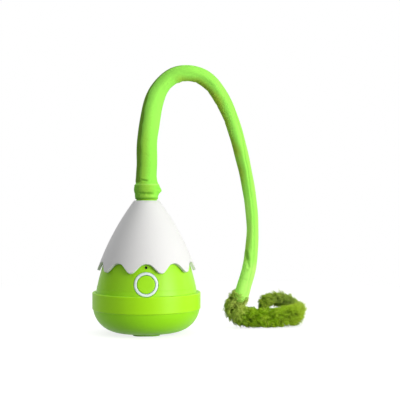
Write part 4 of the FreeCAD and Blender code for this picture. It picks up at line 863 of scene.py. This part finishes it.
# Cloth turned in at the cuff's foot: distance and radius of its rings
HEM_ROWS = [(1.4, 7.4), (1.35, 8.5), (0.5, 8.62), (0.05, 8.95)]
FINE_ROWS_TO = 23.0      # the cuff's rings are closer than those of the rest
FINE_ROW = 0.55
PLAIN_ROW = 1.08
SLEEVE_TUCK = 6.0        # how far the sleeve runs on inside the long pile
TUCK_TAPER = 0.22
PRESSURE = 4.0
SLACK = 0.045            # share by which the cloth is larger than the skin
BULGE_LIMIT = 0.7
BULGE_SHARE = 0.22       # of each of three neighbours in a ring
CUFF_FOLD_AT = 268       # degrees at which the tie band's fold stands out


def turn_between(angle, other):
    """Signed difference of two angles in degrees, within half a turn."""
    return (angle - other + 180.0) % 360.0 - 180.0


def toward(degrees, middle, width, power=2):
    """1 where the cloth faces an angle, falling off over a width in degrees."""
    return bell(turn_between(degrees, middle), 0.0, width, power)


def on_cuff(far):
    """1 on the cuff and 0 past its lip."""
    return ramp(far, 12.6, 11.8)


def crease_shape(far, degrees, radius, line, width):
    """How much a crease holds at each point, from 0 to 1, and how much the cloth stands up beside it."""
    low, start_turn, high, end_turn = line
    x = np.radians(turn_between(degrees, start_turn)) * radius
    run_x = math.radians(end_turn - start_turn) * radius
    y = far - low
    run_y = high - low
    length = run_x ** 2 + run_y ** 2
    part = (x * run_x + y * run_y) / length
    clipped = np.clip(part, 0.0, 1.0)
    away = np.hypot(x - clipped * run_x, y - clipped * run_y)
    side = (x * run_y - y * run_x) / np.sqrt(length)
    taper = np.clip(np.minimum(part, 1 - part) * 4 + 0.4, 0.0, 1.0)
    held = bell(away, 0.0, width) * taper
    shoulder = bell(np.abs(side), 2 * width, width) * taper * ((part > 0) & (part < 1))
    return held, shoulder


def creased(far, degrees, radius):
    """How deep the creases lie at each point, and how dark their painted shade is there."""
    deep = np.zeros_like(radius)
    dark = np.zeros_like(radius)
    for *line, depth, width, darkness in CREASES:
        held, shoulder = crease_shape(far, degrees, radius, line, width)
        deep += depth * (held - 0.3 * shoulder)
        dark = np.maximum(dark, held * darkness)
    return deep, dark


def seam_marks(far, degrees, radius):
    """The seam's relief, the painted shade in its groove, and the strip of painted shade beside it on the
    riser's shaded side, edged like cloth turned over.
    """
    wander = 1.6 * np.sin(far / 5.3) + 1.1 * np.sin(far / 2.1 + 1.0)
    beside = turn_between(degrees, eased(SEAM, far) + wander)
    across = np.radians(beside) * radius
    pucker = 0.5 + 0.5 * np.sin(far * 2 * math.pi / 3.4)
    on_sleeve = ramp(far, 13.0, 15.0)
    groove = bell(across, 0.0, 0.75) * (0.34 + 0.16 * pucker)
    pulled = bell(np.abs(across), 1.7, 1.0) * 0.10 * pucker
    # Painted shade in the seam's groove
    dark = bell(across, 0.0, 0.6) * 0.45 * np.maximum(ramp(far, 270.0, 230.0), 0.35)
    reach = eased(SEAM, far, 2)
    # Strip of painted shade on the riser's shaded side, reaching the given degrees from the seam
    strip = ramp(beside, 1.5, -1.5) * ramp(beside + reach, -2.0, 2.0) * ramp(reach, 0.0, 12.0)
    return (pulled - groove) * on_sleeve, dark * on_sleeve, strip * on_sleeve


def cloth_waves(far, turn, degrees):
    """Soft waves all along, the cuff's lip, gathers and fold, and the ripples inside the bend."""
    waves = (0.10 * np.sin(far / 7.1 + turn) + 0.08 * np.sin(far / 3.9 - 2 * turn + 1.3)
             + 0.06 * np.sin(far / 11.7 + 3 * turn))
    ripples = sum(0.45 * depth * bell(far, place, 1.3) for place, depth in INNER_BEND)
    inner = np.clip(-np.sin(turn), 0.0, 1.0) ** 2
    lip = 0.28 * bell(far, 12.1, 0.45)
    gathers = 0.14 * np.sin(turn * 17 + 1.5 * np.sin(3 * turn)) * bell(far, 4.2, 1.6)
    fold = 0.75 * toward(degrees, CUFF_FOLD_AT, 42.0) * bell(far, 9.5, 5.2, 4)
    point = 1.75 * toward(degrees, CUFF_FOLD_AT, 17.0, 1.5) * bell(far, 7.2, 2.1, 1.6)
    return waves - ripples * inner + lip + gathers + fold + point


def nap_tones(far, degrees):
    """How olive the nap looks and how much painted shade darkens it, on the riser's and cuff's shaded
    front-left and towards the body; and how pale it looks, paler towards the sleeve's end, with painted light
    on the shaded side towards the body and a painted highlight on the cuff's lip.
    """
    low_side = 258.0 + 9.0 * np.sin(far / 9.0) + 6.0 * np.sin(far / 3.7)
    toward_body = ramp(np.abs(turn_between(degrees, low_side)), 75.9, 29.9)
    # Painted shade on the riser's and the cuff's shaded front-left; olive nap with painted shade on the side
    # towards the body
    olive_and_shade = np.maximum.reduce([0.50 * toward(degrees, 160, 26.0) * ramp(far, 78.0, 48.0),
                              0.55 * toward(degrees, 172, 46.0) * on_cuff(far),
                              toward_body * eased(OLIVE_AND_SHADE_SIDE, far)])
    # Painted light lifts the shaded side towards the body; a painted highlight runs along the cuff's lip, and
    # a paler band lies low on the cuff's front
    pale = eased(PALE_NAP, far) + toward_body * eased(PAINTED_LIGHT_SIDE, far) - 0.25 * ramp(far, 70.0, 40.0)
    pale += 0.9 * bell(far, 12.2, 0.5) + 0.7 * bell(far, 2.8, 0.45) * toward(degrees, 185, 50.0)
    return olive_and_shade, pale


def cloth_bulge(piece, far, radius, out):
    """How far the cloth simulation swells the sleeve beside its mean in each ring, smoothed."""
    held = (far < 1.6) | (far > SLEEVE_LENGTH + 1)
    held[:len(HEM_ROWS)] = True
    pinned = list(np.flatnonzero(held.ravel())) + [radius.size, radius.size + 1]
    moves = blown_up(piece, pinned, PRESSURE, SLACK)[:radius.size].reshape(*radius.shape, 3)
    bulge = np.sum(moves * out, axis=2)
    bulge = np.clip(bulge - bulge.mean(axis=1, keepdims=True), -BULGE_LIMIT, BULGE_LIMIT)
    return BULGE_SHARE * (np.roll(bulge, 1, axis=1) + bulge + np.roll(bulge, -1, axis=1))


def sleeve_rings():
    """Distances along the tail of the sleeve's rings of points, and their radii."""
    hem_far, hem_radius = np.array(HEM_ROWS).T
    stops = np.concatenate([np.arange(0.0, FINE_ROWS_TO, FINE_ROW),
                            np.arange(FINE_ROWS_TO, SLEEVE_LENGTH + SLEEVE_TUCK, PLAIN_ROW)])
    distance = np.concatenate([hem_far, stops])
    drawn = np.concatenate([hem_radius, sleeve_radius(stops)])
    past = ramp(distance, SLEEVE_LENGTH, SLEEVE_LENGTH + SLEEVE_TUCK)
    return distance, drawn * (1 - TUCK_TAPER * past ** 2)


def make_sleeve():
    """Velour sleeve: blown up as cloth, then drawn in at its seam and creased where the photograph shows."""
    distance, drawn = sleeve_rings()
    far, turn = np.meshgrid(distance, ring_angles(SLEEVE_COLUMNS), indexing="ij")
    degrees = np.degrees(turn)
    radius = np.repeat(drawn[:, None], SLEEVE_COLUMNS, axis=1)
    centre = tail.at(far)[0]
    out = tail.out(far, turn)
    ends = tail.at(distance[[0, -1]])[0]
    piece = grid_mesh("velour_sleeve", centre + out * radius[..., None], ends)

    # Groove round the hem just above the cap, also used as its painted shadow
    hem_groove_shade = bell(far, 0.7, 0.9) * (1.0 - 0.6 * toward(degrees, 262, 40.0))
    seam_relief, seam_shade, strip = seam_marks(far, degrees, radius)
    crease_deep, crease_shade = creased(far, degrees, radius)
    relief = cloth_waves(far, turn, degrees) + seam_relief - crease_deep - 0.25 * hem_groove_shade
    relief += cloth_bulge(piece, far, radius, out)
    radius = radius + relief * ramp(far, 0.0, 2.0)
    points = np.concatenate([(centre + out * radius[..., None]).reshape(-1, 3), ends]) * MM
    piece.data.vertices.foreach_set("co", points.ravel())
    piece.data.update()

    # Painted shade on the cuff's shaded left side
    cuff_side_shade = 0.50 * on_cuff(far) * toward(degrees, 118, 52.0)
    # All the sleeve's painted shade, kept as one point value
    dark = np.maximum.reduce([seam_shade, crease_shade, cuff_side_shade, hem_groove_shade])
    olive_and_shade, pale = nap_tones(far, degrees)
    for name, values in {"shaded_strip": strip, "painted_shade": dark, "olive_and_shade": olive_and_shade, "pale": pale}.items():
        point_values(piece, name, np.append(values.ravel(), (0.0, 0.0)))
    keep_layout(piece, tube_layout(len(distance), SLEEVE_COLUMNS, 3, 0.96))
    apply_modifier(piece, "SUBSURF", levels=1, render_levels=1)
    finished(piece, "smooth_plush", "tail", ["tail_sleeve"], 180)


# Long pile at the tail's end
PILE_LENGTH = tail.length - SLEEVE_LENGTH
PILE_START = SLEEVE_LENGTH - 1.0
PILE_CORE = 0.56         # radius of the stuffed core beside that of the pile's outside
CORE_COLUMNS = 40
CORE_ROWS = 150
CORE_TONE = 0.12
PILE_SEED = 11
TUFTS = 2300             # as many as the whole curl would bear at its full thickness
FULL_PILE = 8.5          # radius of the pile at which every tuft is kept
TUFT_STRANDS = 14
STRAND_SPREAD = 0.95
# Share of a strand's length at its rings and its tip, and the rings' radius
STRAND_RISES = (0.0, 0.40, 0.76, 1.0)
STRAND_THICKNESS = (0.17, 0.16, 0.09)
LONG_STRANDS = 0.20      # share of the tufts that stand out where the pile is ruffled
WISP_AT = 0.625          # share of the length where a wisp stands up, and its direction
WISP_WAY = (0.66, 0.10, 0.74)
# Share of the pile's length, and how far a tuft's strands keep apart at their tips
LOOSENESS = [(0.0, 0.55), (0.08, 0.40), (0.16, 0.18), (0.34, 0.26), (0.46, 0.80), (0.66, 1.00), (0.80, 0.60),
             (1.0, 0.4)]
# The same with the tone, from dense and dark to pale; the dip near 0.70 is painted shade on the curl's shaded
# rear
PILE_TONE = [(0.0, 0.80), (0.10, 0.62), (0.17, 0.10), (0.34, 0.08), (0.46, 0.24), (0.60, 0.36), (0.70, 0.10),
             (0.86, 0.36), (1.0, 0.50)]
# The same with how greyish the tips look
PILE_GREY = [(0.0, 0.6), (0.10, 0.4), (0.20, 0.0), (0.56, 0.0), (0.68, 0.5), (0.80, 0.4), (1.0, 0.1)]
# The same with how evenly the pile lies: 0 is ruffled, 1 brushed flat
PILE_CALM = [(0.0, 0.55), (0.08, 0.4), (0.16, 0.1), (0.34, 0.0), (0.46, 0.75), (0.64, 0.9), (0.74, 0.4),
             (1.0, 0.2)]


def pile_radius(distance):
    return eased(PILE_RADII, (distance - SLEEVE_LENGTH) / PILE_LENGTH)


def pile_tone(share, chance):
    """Tone of a tuft, which varies least where the pile lies calm."""
    vary = 0.55 - 0.50 * eased(PILE_CALM, share)
    return np.clip(eased(PILE_TONE, share) + (chance ** 3 - 0.25) * vary, 0.0, 1.0)


def row_lengths(vectors):
    return np.linalg.norm(vectors, axis=1)[:, None]


def make_core():
    """Lumpy core of the curl."""
    distance = np.linspace(PILE_START, tail.length - 0.5, CORE_ROWS)
    far, turn = np.meshgrid(distance, ring_angles(CORE_COLUMNS), indexing="ij")
    lumps = (1.0 + 0.06 * np.sin(far / 3.1 + turn) + 0.05 * np.sin(far / 1.9 - 2 * turn)
             + 0.04 * np.sin(far / 5.7 + 3 * turn))
    radius = pile_radius(far) * PILE_CORE * lumps
    radius *= np.clip((far - distance[0]) / 2.0 + 0.55, 0.0, 1.0)
    points = tail.at(far)[0] + tail.out(far, turn) * radius[..., None]
    points[..., 2] = np.maximum(points[..., 2], 0.8)
    return grid_mesh("long_pile_curl", points, tail.at(distance[[0, -1]])[0])


def tuft_places(rng):
    """Distance and angle of each tuft, thinned where the curl is thinner."""
    far = PILE_START + (PILE_LENGTH + 1.0) * rng.random(TUFTS)
    far = far[rng.random(TUFTS) < pile_radius(far) / FULL_PILE]
    return far, rng.random(len(far)) * 2 * math.pi


def tuft_reach(rng, share, way, room, wild, collar):
    """Length of each tuft: longer at the collar, in wisps and underneath, shorter on top of the bend."""
    count = len(share)
    reach = room * (1 + rng.uniform(-0.15, 0.22, count) * wild) + 0.4 + 1.4 * collar
    long = rng.random(count) < LONG_STRANDS * wild
    reach[long] += rng.uniform(0.8, 2.4, long.sum())
    reach *= 1 - 0.5 * np.clip(way[:, 2], 0.0, 1.0) * bell(share, 0.68, 0.05)
    reach *= 1 + 0.45 * np.clip(-way[:, 2], 0.0, 1.0) * bell(share, 0.55, 0.08)
    wisp = (np.abs(share - WISP_AT) < 0.025) & (way @ np.array(WISP_WAY) > 0.86)
    reach[wisp] *= rng.uniform(1.3, 1.9, wisp.sum())
    return reach


def make_pile():
    """Curl of long pile: a lumpy core with thousands of tapered strands, gathered into tufts."""
    rng = np.random.default_rng(PILE_SEED)
    piece = make_core()
    far, turn = tuft_places(rng)
    count = len(far)
    share = (far - SLEEVE_LENGTH) / PILE_LENGTH
    tone = pile_tone(share, rng.random(count))
    collar = bell(share, 0.0, 0.035)
    core = pile_radius(far) * (PILE_CORE * 0.95 + 0.32 * collar)
    centre, ahead, _, _ = tail.at(far)
    out = tail.out(far, turn)
    foot = centre + out * core[:, None]
    wild = 1 - 0.85 * eased(PILE_CALM, share)
    lean = (0.35 - 0.9 * collar + 0.45 * wild * rng.normal(0.0, 1.0, count))[:, None]
    way = out + ahead * lean + rng.normal(0.0, 0.34, (count, 3)) * wild[:, None]
    way[:, 2] -= 0.12
    way /= row_lengths(way)
    rise = np.clip(np.sum(way * out, axis=1), 0.45, 1.0)
    reach = tuft_reach(rng, share, way, (pile_radius(far) - core) / rise, wild, collar)
    down = way[:, 2] < -0.1
    reach[down] = np.minimum(reach[down], np.maximum(foot[down, 2] - 0.5, 1.0) / -way[down, 2])
    tip = foot + way * reach[:, None]

    many = np.repeat(np.arange(count), TUFT_STRANDS)
    rings = strand_rings(rng, far[many], turn[many], share[many], core[many], foot[many], way[many],
                         reach[many], tip[many])
    add_strands(piece, rings, tone[many], share[many], rng)
    keep_layout(piece, tube_layout(CORE_ROWS, CORE_COLUMNS, 4, 0.12) + strand_layout(len(many), 0.16))
    finished(piece, "long_pile", "tail", ["tail_tip"], 180)


def strand_rings(rng, far, turn, share, core, foot, way, reach, tip):
    """Places of the strands' middles at their rises: bent out of the core, gathered at their tuft's tip."""
    count = len(far)
    spread = rng.normal(0.0, 1.0, (count, 2)) * STRAND_SPREAD
    root_far = np.clip(far + spread[:, 0], SLEEVE_LENGTH - 2.0, tail.length - 0.6)
    out = tail.out(root_far, turn + spread[:, 1] / core)
    root = tail.at(root_far)[0] + out * core[:, None]
    loose = (eased(LOOSENESS, share) * rng.uniform(0.6, 1.4, count))[:, None]
    tip = tip + (root - foot) * loose + rng.normal(0.0, 0.6, (count, 3)) * loose
    tip += way * rng.normal(0.0, 0.5, count)[:, None]
    bend = root + (out * 0.75 + way * 0.25) * (reach * 0.5)[:, None]
    bend += rng.normal(0.0, 0.22, (count, 3))
    root[:, 2] = np.maximum(root[:, 2], 1.0)
    rings = []
    for part in STRAND_RISES:
        at = root * (1 - part) ** 2 + bend * 2 * part * (1 - part) + tip * part ** 2
        at[:, 2] = np.maximum(at[:, 2], 0.35 + 0.25 * (1 - part))
        rings.append(at)
    return rings


def add_strands(piece, rings, tone, share, rng):
    """Adds three-sided tapered strands to the core's mesh, with tone, grey and rise as point values."""
    count = len(tone)
    way = rings[-1] - rings[0]
    way /= row_lengths(way)
    across = np.cross(way, rng.normal(0.0, 1.0, (count, 3)))
    across /= row_lengths(across)
    upward = np.cross(way, across)
    blocks = []
    for at, thickness in zip(rings, STRAND_THICKNESS):
        for angle in ring_angles(3):
            blocks.append(at + (across * math.cos(angle) + upward * math.sin(angle)) * thickness)
    blocks.append(rings[-1])
    rises = list(np.repeat(STRAND_RISES[:-1], 3)) + [1.0]
    per = len(blocks)
    sides = [(0, 1), (1, 2), (2, 0)]
    top = per - 4
    pattern = [(low + left, low + right, low + 3 + right, low + 3 + left)
               for low in range(0, top, 3) for left, right in sides]
    pattern += [(top + left, top + right, per - 1) for left, right in sides] + [(2, 1, 0)]
    shape = piece.data
    first = len(shape.vertices)
    old = np.zeros(first * 3)
    shape.vertices.foreach_get("co", old)
    vertices = np.concatenate([old.reshape(-1, 3), np.stack(blocks, axis=1).reshape(-1, 3) * MM])
    faces = [tuple(face.vertices) for face in shape.polygons]
    base = first + np.arange(count)[:, None] * per
    for face in pattern:
        faces += (base + np.array(face)).tolist()
    shape.clear_geometry()
    shape.from_pydata(vertices.tolist(), [], faces)
    marks = {"grey": (0.0, np.repeat(eased(PILE_GREY, share), per)),
             "tone": (CORE_TONE, np.repeat(tone, per)),
             "rise": (0.0, np.tile(rises, count))}
    for name, (core_value, values) in marks.items():
        point_values(piece, name, np.concatenate([np.full(first, core_value), values]))


def strand_layout(count, low):
    """UV places of the strands' faces, each strand in a cell of its own above a level."""
    side = math.ceil(math.sqrt(count))
    line, column = np.divmod(np.arange(count), side)
    cells = np.stack([column, line], axis=1)[:, None]
    heights = [0.12 + 0.83 * rise for rise in STRAND_RISES]
    faces = [[(corner, below), (corner + 1, below), (corner + 1, above), (corner, above)]
             for below, above in zip(heights[:-2], heights[1:-1]) for corner in range(3)]
    faces += [[(corner, heights[-2]), (corner + 1, heights[-2]), (corner + 0.5, heights[-1])]
              for corner in range(3)]
    faces.append([(2.8, 0.02), (1.5, 0.08), (0.2, 0.02)])
    size = np.array([1 / side, (1 - low) / side])
    return [((cells + np.array(face) * (0.30, 1.0) + (0.05, 0.0)) * size + (0.0, low)).reshape(-1, 2)
            for face in faces]


# Stage
WHITE = (1.0, 1.0, 1.0)
FLOOR_GREY = (0.40, 0.40, 0.40)
FLOOR_LIFT = 0.80        # brings the lit floor up to white for the camera, with its shadow kept
FLOOR_MIDDLE = (0.045, 0.0, 0.0)
FLOOR_NEAR = 0.16        # from this distance on the floor fades to plain white, in metres
FLOOR_FAR = 0.50
# Strengths of the surroundings: in reflections on the left, the right and behind the right, and from
# below and above as light
WORLD_LEFT = 0.04
WORLD_RIGHT = 1.8
WORLD_BEHIND_RIGHT = 3.4
WORLD_LOW = 0.02
WORLD_HIGH = 0.98
# Name, place, aim and width in metres, power in watts, and colour
LAMPS = [("key", (0.635, -0.51, 0.20), (0.03, 0.0, 0.10), 0.45, 5.8, (1.0, 0.985, 0.95)),
         ("fill", (-0.80, -0.70, 0.30), (0.0, 0.0, 0.08), 0.80, 0.4, (1.0, 1.0, 1.0))]
CAMERA_PLACE = (0.00865, -0.76125, 0.1108)
CAMERA_TURN = -2.7
CAMERA_LENS = 82.08
CAMERA_SENSOR = 36.0


def make_stage():
    """Pale floor that runs into the white surroundings, and keeps the toy's shadow."""
    alone()
    bpy.ops.mesh.primitive_plane_add(size=12.0, location=(0.0, 0.0, 0.0))
    floor = bpy.context.object
    floor.name = "studio_floor"
    bpy.ops.object.transform_apply(location=True, rotation=True, scale=True)
    material = bpy.data.materials.new("studio_floor")
    nodes = emptied(material)
    away = nodes.node("VectorMath", {0: nodes.place(), 1: FLOOR_MIDDLE}, operation="DISTANCE")
    matt = nodes.node("BsdfDiffuse", {"Color": FLOOR_GREY}).outputs[0]
    lift = nodes.node("Emission", {"Color": WHITE, "Strength": FLOOR_LIFT}).outputs[0]
    white = nodes.node("Emission", {"Color": WHITE, "Strength": 1.0}).outputs[0]
    near = nodes.node("AddShader", {0: matt, 1: lift}).outputs[0]
    faded = nodes.fade(away.outputs["Value"], FLOOR_NEAR, FLOOR_FAR)
    seen = nodes.node("MixShader", {0: faded, 1: near, 2: white}).outputs[0]
    both = nodes.node("MixShader", {0: seen_ray(nodes), 1: matt, 2: seen}).outputs[0]
    nodes.node("OutputMaterial", {"Surface": both})
    floor.data.materials.append(material)


def seen_ray(nodes):
    """1 for rays from the camera and for rays that gloss or glass sends on."""
    path = nodes.node("LightPath").outputs
    return nodes.math("ADD", nodes.math("ADD", path["Is Camera Ray"], path["Is Glossy Ray"]),
                      path["Is Transmission Ray"], clamp=True)


def make_world():
    """White behind the toy, a studio's bright and dark sides in reflections, a soft light from above."""
    world = bpy.data.worlds.new("studio")
    bpy.context.scene.world = world
    nodes = emptied(world)
    axes = nodes.node("SeparateXYZ", {"Vector": nodes.node("TexCoord").outputs["Generated"]}).outputs
    front = nodes.fade(axes["X"], -0.6, 0.8, WORLD_LEFT, WORLD_RIGHT)
    back = nodes.product(nodes.fade(axes["X"], 0.55, 0.95, 1.0, WORLD_BEHIND_RIGHT),
                         nodes.fade(axes["X"], -0.95, -0.6, 0.45, 1.0))
    mirrored = nodes.between(nodes.fade(axes["Y"], -0.2, 0.5), front, back)
    shown = nodes.between(nodes.node("LightPath").outputs["Is Camera Ray"], mirrored, 1.0)
    dome = nodes.fade(axes["Z"], 0.0, 1.0, WORLD_LOW, WORLD_HIGH)
    strength = nodes.between(seen_ray(nodes), dome, shown)
    light = nodes.node("Background", {"Color": WHITE, "Strength": strength}).outputs[0]
    nodes.node("OutputWorld", {"Surface": light})


def make_lamp(name, place, target, size, power, colour):
    """Round lamp at a place, turned towards a target."""
    data = bpy.data.lights.new(name, "AREA")
    data.shape = "DISK"
    data.size = size
    data.energy = power
    data.color = colour
    lamp = linked(name, data)
    lamp.location = place
    way = np.array(target) - np.array(place)
    flat = math.hypot(way[0], way[1])
    lamp.rotation_euler = (math.atan2(flat, -way[2]), 0.0, math.atan2(way[1], way[0]) - math.pi / 2)


def make_camera():
    data = bpy.data.cameras.new("camera")
    data.sensor_width = CAMERA_SENSOR
    data.lens = CAMERA_LENS
    data.clip_start = 0.01
    data.clip_end = 50.0
    camera = linked("camera", data)
    camera.location = CAMERA_PLACE
    camera.rotation_euler = (math.radians(90), 0.0, math.radians(CAMERA_TURN))
    bpy.context.scene.camera = camera


bpy.context.scene.view_settings.view_transform = "Standard"
make_camera()
make_world()
for lamp_values in LAMPS:
    make_lamp(*lamp_values)
make_stage()
finish_cad_nodes()
make_cap()
make_front_piece("light_ring_face", RING_PROFILE, True, "ring_plastic", "shell", "light_ring")
make_front_piece("power_button_face", BUTTON_PROFILE, False, "button_plastic", "button", "power_button")
make_tyre("left_treaded_tyre", -WHEEL_X, "left_tyre", "left_wheel_set")
make_tyre("right_treaded_tyre", WHEEL_X, "right_tyre", "right_wheel_set")
make_sleeve()
make_pile()
